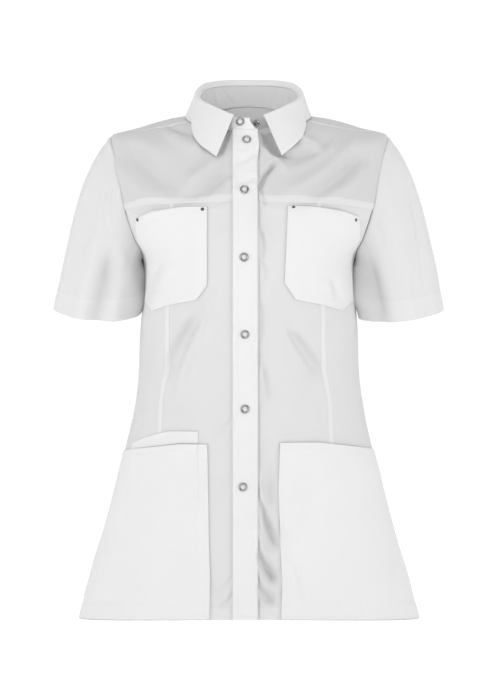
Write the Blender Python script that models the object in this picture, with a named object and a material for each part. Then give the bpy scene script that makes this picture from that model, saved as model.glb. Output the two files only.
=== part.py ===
"""Short-sleeved medical tunic, worn shape with no wearer, opened at neck, hem and cuffs.

Metres, +Z up, the front faces -Y. The origin is the hollow of the neck at the shoulder line,
where the wearer's shoulders hold the garment. +X is the wearer's left.
Outline points of the front are given as seen from VIEW_DISTANCE in front, at the height VIEW_Z.
"""
import math

import bmesh
import bpy
from mathutils import Vector

MM = 0.001
VIEW_DISTANCE = 4.0
VIEW_Z = -0.336

# Cloth sizes
WALL = 1.2 * MM
COLLAR_WALL = 2.0 * MM
PLACKET_WALL = 1.5 * MM
SEAM_HALF_GAP = 0.15 * MM
ARMHOLE_GAP = 0.3 * MM
PATCH_LIFT = 0.6 * MM
CURVED_PATCH_LIFT = 1.2 * MM
PLACKET_LIFT = 0.6 * MM
STAND_LAP = 2.7 * MM

# Lines of the garment
CENTRE_FRONT = -5.4 * MM
PLACKET_OUTER_EDGE = -23.8 * MM
PLACKET_SEAM_RIGHT = -20.6 * MM
PLACKET_SEAM_LEFT = 14.2 * MM
ARMPIT = 10.0
BACK_SEAM = 14.2
TIP = 16.0
NECK = 19.0
PLACKET_TOP = 18.72
SHOULDER_SEAM_NECK_ANGLE = 56.0

LOW_ROWS = 18
CENTRE_COLUMNS = 5
SIDE_COLUMNS = 7
BACK_COLUMNS = 20
YOKE_ROWS = 7
SHOULDER_ROWS = 7
NECK_COLUMNS = CENTRE_COLUMNS + SIDE_COLUMNS - SHOULDER_ROWS

# Rings of the body, hem to neck, in millimetres:
# front_z, side_z, back_z, half_width, front_depth, back_depth, squareness
RINGS = (
    (-715.5, -723.5, -722.0, 246.5, 123.0, 124.0, 2.05),
    (-657.0, -659.0, -658.0, 229.0, 121.0, 122.0, 2.08),
    (-606.0, -606.0, -606.0, 213.5, 119.0, 120.5, 2.10),
    (-553.5, -553.5, -553.5, 198.7, 117.0, 118.5, 2.14),
    (-519.0, -519.0, -519.0, 189.0, 115.5, 115.0, 2.16),
    (-467.0, -467.0, -467.0, 176.0, 113.5, 107.5, 2.20),
    (-414.0, -414.0, -414.0, 164.8, 113.0, 97.0, 2.24),
    (-362.0, -362.0, -362.0, 159.3, 117.5, 91.0, 2.26),
    (-307.0, -307.0, -307.0, 157.0, 126.0, 93.5, 2.30),
    (-250.0, -250.0, -250.0, 151.5, 134.0, 101.0, 2.30),
    (-205.0, -205.0, -205.0, 153.0, 137.0, 108.5, 2.30),
    (-178.0, -178.0, -178.0, 176.0, 134.5, 112.0, 2.30),
    (-150.0, -150.0, -150.0, 193.0, 128.5, 112.0, 2.30),
    (-121.0, -118.0, -121.0, 205.0, 119.5, 109.0, 2.30),
    (-98.0, -88.0, -96.0, 208.0, 110.5, 103.5, 2.30),
    (-78.5, -57.0, -71.0, 204.5, 102.0, 96.5, 2.30),
    (-61.5, -26.0, -46.5, 198.5, 94.0, 88.5, 2.30),
    (-47.5, -14.8, -21.5, 160.0, 87.0, 79.5, 2.20),
    (-35.0, -1.5, 3.5, 115.5, 81.0, 69.5, 2.10),
    (-24.0, 5.0, 21.5, 71.5, 76.0, 60.0, 2.00),
)

# Armhole: ring, how far the seam lies before and behind the side line, in degrees
ARMHOLE = (
    (10.0, 0.0, 0.0),
    (10.12, 9.5, 9.5),
    (10.4, 17.5, 17.8),
    (10.9, 20.5, 21.0),
    (11.5, 21.4, 22.4),
    (12.1, 21.2, 22.8),
    (12.8, 20.4, 22.2),
    (13.5, 19.2, 20.6),
    (14.2, 17.2, 18.2),
    (14.8, 14.2, 15.0),
    (15.3, 11.0, 11.4),
    (15.7, 7.2, 7.4),
    (15.9, 3.2, 3.3),
    (16.0, 0.0, 0.0),
)
ARMHOLE_FRONT_LOW = (10.0, 10.12, 10.4, 10.9, 11.5, 12.1)
ARMHOLE_FRONT_HIGH = (13.3, 14.0, 14.7, 15.3, 15.7, 15.9, 16.0)
ARMHOLE_YOKE = (16.0, 15.9, 15.7, 15.3, 14.8, BACK_SEAM)
ARMHOLE_BACK = (10.0, 10.12, 10.4, 10.9, 11.6, 12.4, 13.3, BACK_SEAM)

# Forward shoulder seam: ring, angle from the centre front in degrees
SHOULDER_SEAM = (
    (16.0, 90.0),
    (16.4, 83.5),
    (16.8, 78.2),
    (17.2, 73.2),
    (17.6, 68.8),
    (18.05, 64.2),
    (18.5, 60.2),
    (19.0, SHOULDER_SEAM_NECK_ANGLE),
)

# Chest seam as seen from the front: distance from the centre front, height, in millimetres
CHEST_SEAM = ((0.0, -114.5), (40.0, -119.5), (90.0, -120.5), (140.0, -122.5), (185.0, -130.0))

# Princess seam as seen from the front: height, distance from the centre front, in millimetres
PRINCESS_SEAM = (
    (-725.0, 150.0),
    (-640.0, 139.0),
    (-550.0, 130.0),
    (-450.0, 124.0),
    (-416.0, 122.5),
    (-391.0, 118.5),
    (-362.0, 114.0),
    (-283.0, 113.0),
    (-200.0, 109.0),
    (-115.0, 107.0),
)

# Right edge of the top placket as seen from the front: height, place, in millimetres
PLACKET_EDGE = (
    (-725.0, 13.0),
    (-300.0, 13.0),
    (-90.0, 12.8),
    (-66.0, 11.9),
    (-41.0, 15.4),
    (-26.0, 13.4),
    (-22.0, 12.6),
)

# Largest folds of the front as seen, in millimetres:
# x and z at the top, middle and bottom, half breadth, height (troughs are below zero)
FRONT_FOLDS = (
    (-70.0, -278.0, -93.0, -313.0, -112.0, -375.0, 15.0, -4.0),
    (-60.0, -318.0, -78.0, -342.0, -96.0, -372.0, 14.0, 2.5),
    (56.0, -307.0, 78.0, -338.0, 101.0, -375.0, 15.0, -3.5),
    (34.0, -318.0, 55.0, -352.0, 76.0, -392.0, 14.0, 2.5),
    (20.0, -372.0, 24.0, -405.0, 32.0, -440.0, 11.0, -2.5),
    (-206.0, -560.0, -197.0, -620.0, -199.0, -700.0, 15.0, -4.0),
    (193.0, -540.0, 207.0, -620.0, 219.0, -700.0, 15.0, -4.0),
)
BACK_FOLDS = (
    (-62.0, -290.0, -88.0, -340.0, -116.0, -400.0, 17.0, -4.0),
    (66.0, -300.0, 90.0, -345.0, 120.0, -395.0, 17.0, -4.0),
    (-30.0, -480.0, -42.0, -600.0, -60.0, -715.0, 24.0, -5.0),
    (48.0, -470.0, 66.0, -590.0, 82.0, -715.0, 24.0, -5.0),
    (140.0, -520.0, 158.0, -620.0, 176.0, -715.0, 20.0, -4.0),
    (-138.0, -530.0, -160.0, -620.0, -178.0, -715.0, 20.0, -4.0),
)
BUST_FULLNESS = 5.0 * MM
BUST_X = 84.0 * MM
BUST_Z = -205.0 * MM
BUST_BREADTH = 68.0 * MM

# Sleeves, as on the wearer's left
SLEEVE_ROWS = 8
CUFF_CENTRE = (220.5 * MM, -5.0 * MM, -284.0 * MM)
CUFF_ACROSS = (61.5 * MM, 0.0, 8.5 * MM)
CUFF_FORWARD = (0.0, -53.0 * MM, -11.5 * MM)
# Two troughs down each sleeve: angle round the cuff, start and end down the sleeve, breadth, depth
SLEEVE_FOLDS = ((38.0, 0.25, 1.1, 15.0, 3.5 * MM), (-60.0, 0.05, 0.75, 16.0, 3.0 * MM))

# Collar: top of the stand, angle from the centre front and height in millimetres
STAND_TOP_WIDTH = 72.7 * MM
STAND_TOP_FRONT = 73.5 * MM
STAND_TOP_BACK = 63.0 * MM
STAND_TOP = (
    (0.0, -5.5),
    (16.0, -5.0),
    (30.0, 1.5),
    (45.0, 8.5),
    (60.0, 14.0),
    (75.0, 19.5),
    (90.0, 27.5),
    (105.0, 37.5),
    (120.0, 45.5),
    (150.0, 51.5),
    (180.0, 52.5),
)
STAND_START = 10.0
STAND_END = -362.0
FALL_COLUMNS = 32
FALL_START = 16.5
# Outer edge of the collar leaf on the front, as seen: angle of its column, x, z in millimetres
LEAF_RIGHT = (
    (16.5, -47.0, -58.5),
    (30.0, -58.5, -50.0),
    (43.0, -70.5, -41.5),
    (57.0, -78.5, -30.5),
    (70.0, -82.5, -19.5),
    (80.0, -83.5, -8.0),
)
LEAF_LEFT = (
    (16.5, 47.5, -56.5),
    (30.0, 60.5, -46.5),
    (43.0, 71.0, -37.0),
    (57.0, 78.0, -27.5),
    (70.0, 81.5, -16.5),
    (80.0, 83.0, -6.0),
)
LEAF_LIFT = 6.0 * MM
# Outer edge of the collar leaf from the side to the back: angle, ring of the body below it
LEAF_BACK = ((80.0, 18.76), (100.0, 18.78), (125.0, 18.68), (150.0, 18.56), (180.0, 18.5))

# Pocket outlines as seen, in millimetres: the corners in turn
CHEST_POCKET_RIGHT = {
    "top": ((-60.5, -128.5), (-97.5, -129.5), (-139.5, -135.5), (-161.5, -145.0)),
    "bottom": ((-60.5, -242.0), (-75.5, -263.0), (-118.5, -272.0), (-139.0, -280.0), (-150.0, -262.0)),
    "outer_angle": 73.0,
}
CHEST_POCKET_LEFT = {
    "top": ((56.5, -126.5), (90.0, -129.0), (130.0, -133.5), (158.0, -142.5)),
    "bottom": ((51.5, -239.0), (68.0, -263.5), (107.0, -271.0), (133.5, -279.0), (149.5, -262.0)),
    "outer_angle": 73.0,
}
CHEST_POCKET_ROWS = 7
CHEST_POCKET_COLUMNS = 9
HIP_POCKET_INNER_RIGHT = ((-472.5, -60.0), (-620.0, -57.5), (-669.0, -56.0), (-724.0, -57.0))
HIP_POCKET_INNER_LEFT = ((-470.0, 45.0), (-540.0, 42.5), (-640.0, 46.5), (-682.0, 48.0), (-724.0, 46.5))
HIP_POCKET_TOP_INNER_RIGHT = -472.5
HIP_POCKET_TOP_INNER_LEFT = -470.0
HIP_POCKET_TOP_OUTER_RIGHT = -482.0
HIP_POCKET_TOP_OUTER_LEFT = -480.0
HIP_POCKET_OUTER_SHARE = 0.6
POCKET_HEM_CLEARANCE = 1.2 * MM
PHONE_POCKET_TOP = -453.5
PHONE_POCKET_RISE = 0.02
PHONE_POCKET_SLOPE = 0.1
PHONE_POCKET_INNER = -73.5
PHONE_POCKET_OUTER_ANGLE = 62.0

# Snaps on the placket as seen, in millimetres
SNAPS = ((-3.2, -32.0), (-6.5, -104.5), (-7.2, -201.5), (-5.8, -313.0), (-5.8, -421.5), (-8.7, -534.5))
SNAP_OUTER_RADIUS = 6.4 * MM
SNAP_INNER_RADIUS = 3.5 * MM
SNAP_HEIGHT = 1.5 * MM
SNAP_SIDES = 12
COLLAR_SNAP_ANGLE = -9.5
COLLAR_STUD_ANGLE = -351.8
COLLAR_SNAP_HEIGHT_SHARE = 0.68
STUD_RADIUS = 4.6 * MM
RIVETS = ((-67.0, -133.0), (-159.5, -147.0), (64.5, -130.5), (153.5, -147.5))
RIVET_RADIUS = 2.6 * MM

WHITE_CLOTH = (0.86, 0.87, 0.88)
RING_METAL = (0.62, 0.62, 0.63)
DARK_METAL = (0.12, 0.12, 0.13)


def smooth_read(rows, place, column):
    """Read a column at a place between rows, on a smooth curve through them."""
    keys = [row[0] for row in rows]
    last = len(rows) - 1
    if place <= keys[0]:
        return rows[0][column]
    if place >= keys[last]:
        return rows[last][column]
    index = max(i for i in range(last) if keys[i] <= place)

    def slope(i):
        low = max(i - 1, 0)
        high = min(i + 1, last)
        return (rows[high][column] - rows[low][column]) / (keys[high] - keys[low])

    span = keys[index + 1] - keys[index]
    t = (place - keys[index]) / span
    start = rows[index][column]
    end = rows[index + 1][column]
    start_slope = slope(index) * span
    end_slope = slope(index + 1) * span
    return (
        (2 * t**3 - 3 * t**2 + 1) * start
        + (t**3 - 2 * t**2 + t) * start_slope
        + (3 * t**2 - 2 * t**3) * end
        + (t**3 - t**2) * end_slope
    )


def straight_read(rows, place, column):
    """Read a column at a place between rows, on straight lines."""
    if place <= rows[0][0]:
        return rows[0][column]
    for low, high in zip(rows, rows[1:]):
        if place <= high[0]:
            t = (place - low[0]) / (high[0] - low[0])
            return low[column] + (high[column] - low[column]) * t
    return rows[-1][column]


NUMBERED_RINGS = [(float(number),) + ring for number, ring in enumerate(RINGS)]


def ring_at(v):
    """The ring's sizes at a place between rings."""
    values = [smooth_read(NUMBERED_RINGS, v, column) for column in range(1, 8)]
    return [value * MM for value in values[:6]] + [values[6]]


def fold_height(folds, x, z):
    """Height of the folds at a place, as soft troughs and ridges that fade at both ends."""
    height = 0.0
    for x0, z0, x1, z1, x2, z2, breadth, depth in folds:
        if z * 1000 > z0 + 40 or z * 1000 < z2 - 40:
            continue
        share = (z * 1000 - z0) / (z2 - z0)
        bounded = min(max(share, 0.0), 1.0)
        middle_share = (z1 - z0) / (z2 - z0)
        bend = x1 - (x0 + (x2 - x0) * middle_share)
        line_x = x0 + (x2 - x0) * bounded + bend * math.sin(math.pi * bounded)
        lean = math.cos(math.atan2(x2 - x0, z0 - z2))
        across = (x * 1000 - line_x) * lean / breadth
        fade = math.sin(math.pi * min(max(share * 0.8 + 0.1, 0.0), 1.0))
        height += depth * MM * fade * math.exp(-across * across)
    return height


def surface(u, v):
    """Point of the body's outer surface: u in degrees from the centre front, v the ring."""
    front_z, side_z, back_z, width, front, back, power = ring_at(v)
    sine = math.sin(math.radians(u))
    cosine = math.cos(math.radians(u))
    depth = front if cosine >= 0 else back
    end_z = front_z if cosine >= 0 else back_z
    radius = (abs(sine / width) ** power + abs(cosine / depth) ** power) ** (-1 / power)
    x = radius * sine
    y = -radius * cosine
    z = side_z + (end_z - side_z) * (y / depth) ** 2
    outward = Vector((x / width**2, y / depth**2, 0)).normalized()
    if cosine >= 0:
        full_x = (abs(x) - BUST_X) / BUST_BREADTH
        full_z = (z - BUST_Z) / BUST_BREADTH
        height = BUST_FULLNESS * math.exp(-(full_x**2) - full_z**2) * cosine
        height += fold_height(FRONT_FOLDS, x, z) * min(1.0, cosine * 4)
    else:
        height = fold_height(BACK_FOLDS, x, z) * min(1.0, -cosine * 4)
    return Vector((x, y, z)) + outward * height


def normal_at(u, v):
    """Outward normal of the body's surface."""
    step_u = 0.4
    step_v = 0.02
    across = surface(u + step_u, v) - surface(u - step_u, v)
    upward = surface(u, min(v + step_v, NECK)) - surface(u, max(v - step_v, 0))
    return across.cross(upward).normalized()


def seen(point):
    """Where a point appears from the front: x and z on the plane y = 0."""
    scale = VIEW_DISTANCE / (VIEW_DISTANCE + point.y)
    return point.x * scale, VIEW_Z + (point.z - VIEW_Z) * scale


def bisect(low, high, miss):
    """Place between low and high where miss changes its sign."""
    low_miss = miss(low)
    for _ in range(34):
        middle = (low + high) / 2
        middle_miss = miss(middle)
        if (middle_miss > 0) == (low_miss > 0):
            low = middle
        else:
            high = middle
    return (low + high) / 2


def ring_for_side_z(z):
    return bisect(0.0, ARMPIT, lambda v: ring_at(v)[1] - z)


def front_samples():
    """Coarse places of the front with where they appear, to start a search from."""
    samples = []
    for u in range(-88, 89, 4):
        for step in range(0, 77):
            v = min(step * 0.25, NECK - 0.02)
            samples.append((seen(surface(u, v)), (u, v)))
    return samples


FRONT_SAMPLES = front_samples()


def locate(x, z):
    """Angle and ring of the front point that appears at x, z."""
    nearest = min(FRONT_SAMPLES, key=lambda sample: math.dist(sample[0], (x, z)))
    u, v = nearest[1]
    for _ in range(10):
        here_x, here_z = seen(surface(u, v))
        side_x, side_z = seen(surface(u + 0.05, v))
        up_x, up_z = seen(surface(u, v + 0.005))
        a = (side_x - here_x) / 0.05
        b = (up_x - here_x) / 0.005
        c = (side_z - here_z) / 0.05
        d = (up_z - here_z) / 0.005
        miss_x = x - here_x
        miss_z = z - here_z
        whole = a * d - b * c
        if abs(whole) < 1e-12:
            break
        u += max(-3.0, min(3.0, (d * miss_x - b * miss_z) / whole))
        v += max(-0.3, min(0.3, (a * miss_z - c * miss_x) / whole))
        v = max(0.0, min(NECK - 0.02, v))
    return u, v


def angle_at_x(v, x, low, high):
    """Angle on ring v, where the point appears at x."""
    return bisect(low, high, lambda u: seen(surface(u, v))[0] - x)


def armhole_front(v):
    return 90 - smooth_read(ARMHOLE, v, 1)


def armhole_back(v):
    return 90 + smooth_read(ARMHOLE, v, 2)


def chest_miss(u, v):
    x, z = seen(surface(u, v))
    return z - straight_read(CHEST_SEAM, abs(x - CENTRE_FRONT) * 1000, 1) * MM


def chest_seam_ring(u):
    return bisect(11.3, 15.5, lambda v: chest_miss(u, v))


CHEST_SEAM_ARMHOLE = bisect(11.6, 13.2, lambda v: chest_miss(armhole_front(v), v))


def princess_angle(side, v):
    def miss(u):
        x, z = seen(surface(side * u, v))
        return side * (x - CENTRE_FRONT) - smooth_read(PRINCESS_SEAM, z * 1000, 1) * MM

    return bisect(20.0, 85.0, miss)


def placket_angle(side, v):
    edge = PLACKET_SEAM_LEFT if side > 0 else PLACKET_SEAM_RIGHT
    return side * angle_at_x(v, edge, -40.0, 40.0)


def lerp(start, end, t):
    return start + (end - start) * t


LOW_RINGS = [
    ring_for_side_z(lerp(RINGS[0][1], RINGS[int(ARMPIT)][1], row / LOW_ROWS) * MM) for row in range(LOW_ROWS + 1)
]
LOW_RINGS[0] = 0.0
LOW_RINGS[-1] = ARMPIT
FRONT_ARM_RINGS = ARMHOLE_FRONT_LOW + (CHEST_SEAM_ARMHOLE,)


def front_rows():
    """Rows of the front below the chest seam: share of the way from armpit to seam, arm ring."""
    rows = [("low", v) for v in LOW_RINGS]
    steps = len(FRONT_ARM_RINGS) - 1
    rows += [("high", step) for step in range(1, steps + 1)]
    return rows


def front_ring(row, u):
    """Ring of a front row at an angle, inside the princess seam."""
    kind, value = row
    if kind == "low":
        return value
    return lerp(ARMPIT, chest_seam_ring(u), value / (len(FRONT_ARM_RINGS) - 1))


def front_edge(row, side, find):
    """Angle and ring where a row meets a seam, for a seam that find gives at a ring."""
    kind, value = row
    if kind == "low":
        return find(side, value), value
    u = find(side, ARMPIT)
    v = ARMPIT
    for _ in range(5):
        v = front_ring(row, side * u)
        u = find(side, v)
    return u, v


def front_centre_grid(side):
    grid = []
    for row in front_rows():
        inner, inner_v = front_edge(row, side, placket_angle)
        outer, outer_v = front_edge(row, side, princess_angle)
        line = []
        for column in range(CENTRE_COLUMNS + 1):
            t = column / CENTRE_COLUMNS
            u = side * lerp(inner, outer, t)
            v = lerp(inner_v, outer_v, t)
            if row == front_rows()[-1] and 0 < column < CENTRE_COLUMNS:
                v = chest_seam_ring(u)
            line.append((u, v))
        grid.append(line)
    return grid


def front_side_grid(side):
    grid = []
    for row in front_rows():
        inner, inner_v = front_edge(row, side, princess_angle)
        kind, value = row
        outer_v = value if kind == "low" else FRONT_ARM_RINGS[value]
        outer = 90.0 if kind == "low" else armhole_front(outer_v)
        line = []
        for column in range(SIDE_COLUMNS + 1):
            t = column / SIDE_COLUMNS
            u = side * lerp(inner, outer, t)
            v = lerp(inner_v, outer_v, t)
            if row == front_rows()[-1] and 0 < column < SIDE_COLUMNS:
                v = chest_seam_ring(u)
            line.append((u, v))
        grid.append(line)
    return grid


def patch(bottom, top, left, right):
    """Grid between four lists of (u, v), which share their corners."""
    rows = len(left) - 1
    columns = len(bottom) - 1
    grid = []
    for i in range(rows + 1):
        t = i / rows
        line = []
        for j in range(columns + 1):
            s = j / columns
            place = []
            for k in (0, 1):
                across = lerp(left[i][k], right[i][k], s)
                upward = lerp(bottom[j][k], top[j][k], t)
                corners = lerp(
                    lerp(bottom[0][k], bottom[-1][k], s), lerp(top[0][k], top[-1][k], s), t
                )
                place.append(across + upward - corners)
            line.append(tuple(place))
        grid.append(line)
    return grid


def placket_yoke_ring(side, t):
    base_u, base_v = front_edge(front_rows()[-1], side, placket_angle)
    return lerp(base_v, NECK, t)


def front_yoke_grid(side):
    centre = front_centre_grid(side)[-1]
    outer = front_side_grid(side)[-1]
    bottom = centre + outer[1:]
    neck_inner = side * placket_angle(side, NECK)
    neck_outer = side * SHOULDER_SEAM_NECK_ANGLE
    top = [(lerp(neck_inner, neck_outer, i / NECK_COLUMNS), NECK) for i in range(NECK_COLUMNS + 1)]
    top += [(side * u, v) for v, u in reversed(SHOULDER_SEAM[:-1])]
    left = []
    for i in range(YOKE_ROWS + 1):
        v = placket_yoke_ring(side, i / YOKE_ROWS)
        left.append((side * placket_angle(side, v), v))
    left[0] = bottom[0]
    right = [bottom[-1]] + [(side * armhole_front(v), v) for v in ARMHOLE_FRONT_HIGH]
    return patch(bottom, top, left, right)


def back_grid():
    grid = []
    rows = [("low", v) for v in LOW_RINGS]
    steps = len(ARMHOLE_BACK) - 1
    rows += [("high", step) for step in range(1, steps + 1)]
    for kind, value in rows:
        edge_v = value if kind == "low" else ARMHOLE_BACK[value]
        edge_u = 90.0 if kind == "low" else armhole_back(edge_v)
        middle_v = value if kind == "low" else lerp(ARMPIT, BACK_SEAM, value / steps)
        line = []
        for column in range(BACK_COLUMNS + 1):
            s = column / BACK_COLUMNS
            side_share = (2 * s - 1) ** 2
            line.append((lerp(edge_u, 360 - edge_u, s), lerp(middle_v, edge_v, side_share)))
        grid.append(line)
    return grid


def back_yoke_grid():
    back_line = back_grid()[-1]
    start = [(armhole_back(v), v) for v in ARMHOLE_YOKE[:-1]]
    start[0] = (90.0, TIP)
    end = [(360 - u, v) for u, v in reversed(start)]
    outer = start + back_line + end
    count = len(outer) - 1
    neck_start = SHOULDER_SEAM_NECK_ANGLE
    neck = [(lerp(neck_start, 360 - neck_start, i / count), NECK) for i in range(count + 1)]
    left = [(u, v) for v, u in SHOULDER_SEAM]
    right = [(360 - u, v) for v, u in SHOULDER_SEAM]
    return patch(outer, neck, left, right)


def key_of(point):
    return tuple(round(value * 1e5) for value in point)


def grid_points(grid):
    return [[surface(u, v) for u, v in line] for line in grid]


def grid_normals(points, closed=False):
    """Vertex normals of a grid of points, right-handed over rows and columns."""
    rows = len(points)
    columns = len(points[0])
    normals = []
    for i in range(rows):
        line = []
        for j in range(columns):
            if closed:
                before = points[i][(j - 1) % columns]
                after = points[i][(j + 1) % columns]
            else:
                before = points[i][max(j - 1, 0)]
                after = points[i][min(j + 1, columns - 1)]
            below = points[max(i - 1, 0)][j]
            above = points[min(i + 1, rows - 1)][j]
            line.append((after - before).cross(above - below).normalized())
        normals.append(line)
    return normals


MITRES = {}


def mitre(first, second):
    """Wall direction that two walls share at a bend, longer where the bend is sharp."""
    middle = first + second
    if middle.length < 0.05:
        return first
    middle.normalize()
    return middle / max(middle.dot(first), 0.42)


def seam_shift(points, walls, seams):
    """Move the edges named in seams into the piece, by half of the gap at a seam."""
    rows = len(points)
    columns = len(points[0])
    moved = [[Vector() for _ in line] for line in points]

    def push(i, j, tangent, toward):
        across = tangent.cross(walls[i][j]).normalized()
        if across.dot(toward - points[i][j]) < 0:
            across = -across
        moved[i][j] += across * SEAM_HALF_GAP

    for i in range(rows):
        along = slice(max(i - 1, 0), min(i + 1, rows - 1) + 1)
        if "l" in seams:
            edge = [line[0] for line in points[along]]
            push(i, 0, edge[-1] - edge[0], points[i][1])
        if "r" in seams:
            edge = [line[-1] for line in points[along]]
            push(i, columns - 1, edge[-1] - edge[0], points[i][-2])
    for j in range(columns):
        low = max(j - 1, 0)
        high = min(j + 1, columns - 1)
        if "b" in seams:
            push(0, j, points[0][high] - points[0][low], points[1][j])
        if "t" in seams:
            push(rows - 1, j, points[-1][high] - points[-1][low], points[-2][j])
    return [[points[i][j] + moved[i][j] for j in range(columns)] for i in range(rows)]


def material(name, colour, metallic, roughness):
    made = bpy.data.materials.new(name)
    made.use_nodes = True
    shader = made.node_tree.nodes["Principled BSDF"]
    shader.inputs["Base Color"].default_value = (*colour, 1)
    shader.inputs["Metallic"].default_value = metallic
    shader.inputs["Roughness"].default_value = roughness
    return made


def add_object(name, mesh, colour, metallic=0.0, roughness=0.8):
    made = bpy.data.objects.new(name, mesh)
    bpy.context.collection.objects.link(made)
    mesh.materials.append(material(f"{name}_material", colour, metallic, roughness))
    mesh.shade_smooth()
    mesh.set_sharp_from_angle(angle=math.radians(40))
    return made


def wall(name, outer, inner, closed=False, colour=WHITE_CLOTH):
    """Closed solid between two grids of points."""
    work = bmesh.new()
    rows = len(outer)
    columns = len(outer[0])
    layers = [[[work.verts.new(point) for point in line] for line in grid] for grid in (outer, inner)]
    spans = columns if closed else columns - 1
    for layer in layers:
        for i in range(rows - 1):
            for j in range(spans):
                k = (j + 1) % columns
                work.faces.new((layer[i][j], layer[i][k], layer[i + 1][k], layer[i + 1][j]))
    top, bottom = layers
    for i in (0, rows - 1):
        for j in range(spans):
            k = (j + 1) % columns
            work.faces.new((top[i][j], top[i][k], bottom[i][k], bottom[i][j]))
    if not closed:
        for j in (0, columns - 1):
            for i in range(rows - 1):
                work.faces.new((top[i][j], top[i + 1][j], bottom[i + 1][j], bottom[i][j]))
    bmesh.ops.recalc_face_normals(work, faces=work.faces)
    mesh = bpy.data.meshes.new(name)
    work.to_mesh(mesh)
    work.free()
    return add_object(name, mesh, colour)


def panel(name, grid, seams, thickness=WALL):
    """A cut piece of the body, its wall inside the body's surface."""
    points = grid_points(grid)
    walls = []
    for line, places in zip(points, grid):
        walls.append([MITRES.get(key_of(p)) or normal_at(u, v) for p, (u, v) in zip(line, places)])
    outer = seam_shift(points, walls, seams)
    inner = [[p - w * thickness for p, w in zip(line, wall_line)] for line, wall_line in zip(outer, walls)]
    return wall(name, outer, inner)


def overlay(name, grid, lift, thickness):
    """A piece that lies on the body: the body's own points, moved out."""
    outer = []
    inner = []
    for line in grid:
        points = [surface(u, v) for u, v in line]
        normals = [normal_at(u, v) for u, v in line]
        inner.append([p + n * lift for p, n in zip(points, normals)])
        outer.append([p + n * (lift + thickness) for p, n in zip(points, normals)])
    return wall(name, outer, inner)


def armhole_places():
    """Places of the armhole seam on the wearer's left: armpit, front, shoulder, back."""
    front = [(armhole_front(v), v) for v in FRONT_ARM_RINGS + ARMHOLE_FRONT_HIGH]
    yoke = [(armhole_back(v), v) for v in ARMHOLE_YOKE[1:]]
    back = [(armhole_back(v), v) for v in reversed(ARMHOLE_BACK[1:-1])]
    places = front + yoke + back
    places[0] = (90.0, ARMPIT)
    return places


def cuff_angle(share):
    """Angle round the cuff for a share of the armhole: 0 under the arm, 0.5 at the top."""
    return 360 * share


def sleeve_points(side):
    """Grid of a sleeve's outer surface, armhole to cuff, columns round the arm."""
    places = armhole_places()
    loop = [surface(side * u, v) for u, v in places]
    lengths = [0.0]
    for here, after in zip(loop, loop[1:] + loop[:1]):
        lengths.append(lengths[-1] + (after - here).length)
    top_index = len(FRONT_ARM_RINGS + ARMHOLE_FRONT_HIGH) - 1
    centre = Vector(CUFF_CENTRE)
    across = Vector(CUFF_ACROSS)
    forward = Vector(CUFF_FORWARD)
    rows = [[] for _ in range(SLEEVE_ROWS + 1)]
    for index, start in enumerate(loop):
        if index <= top_index:
            share = 0.5 * lengths[index] / lengths[top_index]
        else:
            share = 0.5 + 0.5 * (lengths[index] - lengths[top_index]) / (lengths[-1] - lengths[top_index])
        angle = math.radians(360 * share)
        end = centre - across * math.cos(angle) + forward * math.sin(angle)
        end.x *= side
        height = (1 - math.cos(angle)) / 2
        leave = Vector((side * lerp(0.50, 0.75, height), 0.05 * -math.sin(angle), -lerp(0.86, 0.66, height)))
        arrive = Vector((side * lerp(0.0, 0.20, height), 0.0, -1.0))
        leave = leave.normalized() * (end - start).length * lerp(0.9, 0.72, height)
        arrive = arrive.normalized() * (end - start).length * lerp(0.9, 0.85, height)
        for row in range(SLEEVE_ROWS + 1):
            t = row / SLEEVE_ROWS
            point = (
                start * (2 * t**3 - 3 * t**2 + 1)
                + leave * (t**3 - 2 * t**2 + t)
                + end * (3 * t**2 - 2 * t**3)
                + arrive * (t**3 - t**2)
            )
            inward = centre - end
            inward.x = side * centre.x - end.x
            for fold_angle, fold_start, fold_end, breadth, depth in SLEEVE_FOLDS:
                off = (math.degrees(angle) - 90 - fold_angle + 180) % 360 - 180
                fade_share = min(max((t - fold_start) / (fold_end - fold_start), 0.0), 1.0)
                fade = math.sin(math.pi * fade_share)
                point += inward.normalized() * depth * fade * math.exp(-((off / breadth) ** 2))
            rows[row].append(point)
    return rows


def sleeve(name, side):
    """Sleeve tube, its wall inside; its seam edge shares its wall direction with the body."""
    points = sleeve_points(side)
    normals = grid_normals(points, closed=True)
    centre_line = [sum(line, Vector()) / len(line) for line in points]
    if (points[4][0] - centre_line[4]).dot(normals[4][0]) < 0:
        normals = [[-n for n in line] for line in normals]
    places = armhole_places()
    for j, (u, v) in enumerate(places):
        shared = mitre(normal_at(side * u, v), normals[0][j])
        MITRES[key_of(points[0][j])] = shared
        normals[0][j] = shared
    count = len(places)
    edge = []
    for j in range(count):
        tangent = points[0][(j + 1) % count] - points[0][j - 1]
        away = tangent.cross(normals[0][j]).normalized()
        if away.dot(points[1][j] - points[0][j]) < 0:
            away = -away
        edge.append(points[0][j] + away * ARMHOLE_GAP)
    points[0] = edge
    inner = [[p - n * WALL for p, n in zip(line, normal_line)] for line, normal_line in zip(points, normals)]
    return wall(name, points, inner, closed=True)


def stand_point(u, t, offset=0.0):
    """Point of the collar stand's outer face: t is 0 at the neck seam and 1 at its top."""
    base = surface(u, NECK)
    sine = math.sin(math.radians(u))
    cosine = math.cos(math.radians(u))
    depth = STAND_TOP_FRONT if cosine >= 0 else STAND_TOP_BACK
    radius = ((sine / STAND_TOP_WIDTH) ** 2 + (cosine / depth) ** 2) ** -0.5
    turn = abs((u + 180) % 360 - 180)
    top = Vector((radius * sine, -radius * cosine, smooth_read(STAND_TOP, turn, 1) * MM))
    outward = stand_outward(u)
    return base.lerp(top, t) + outward * offset


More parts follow.
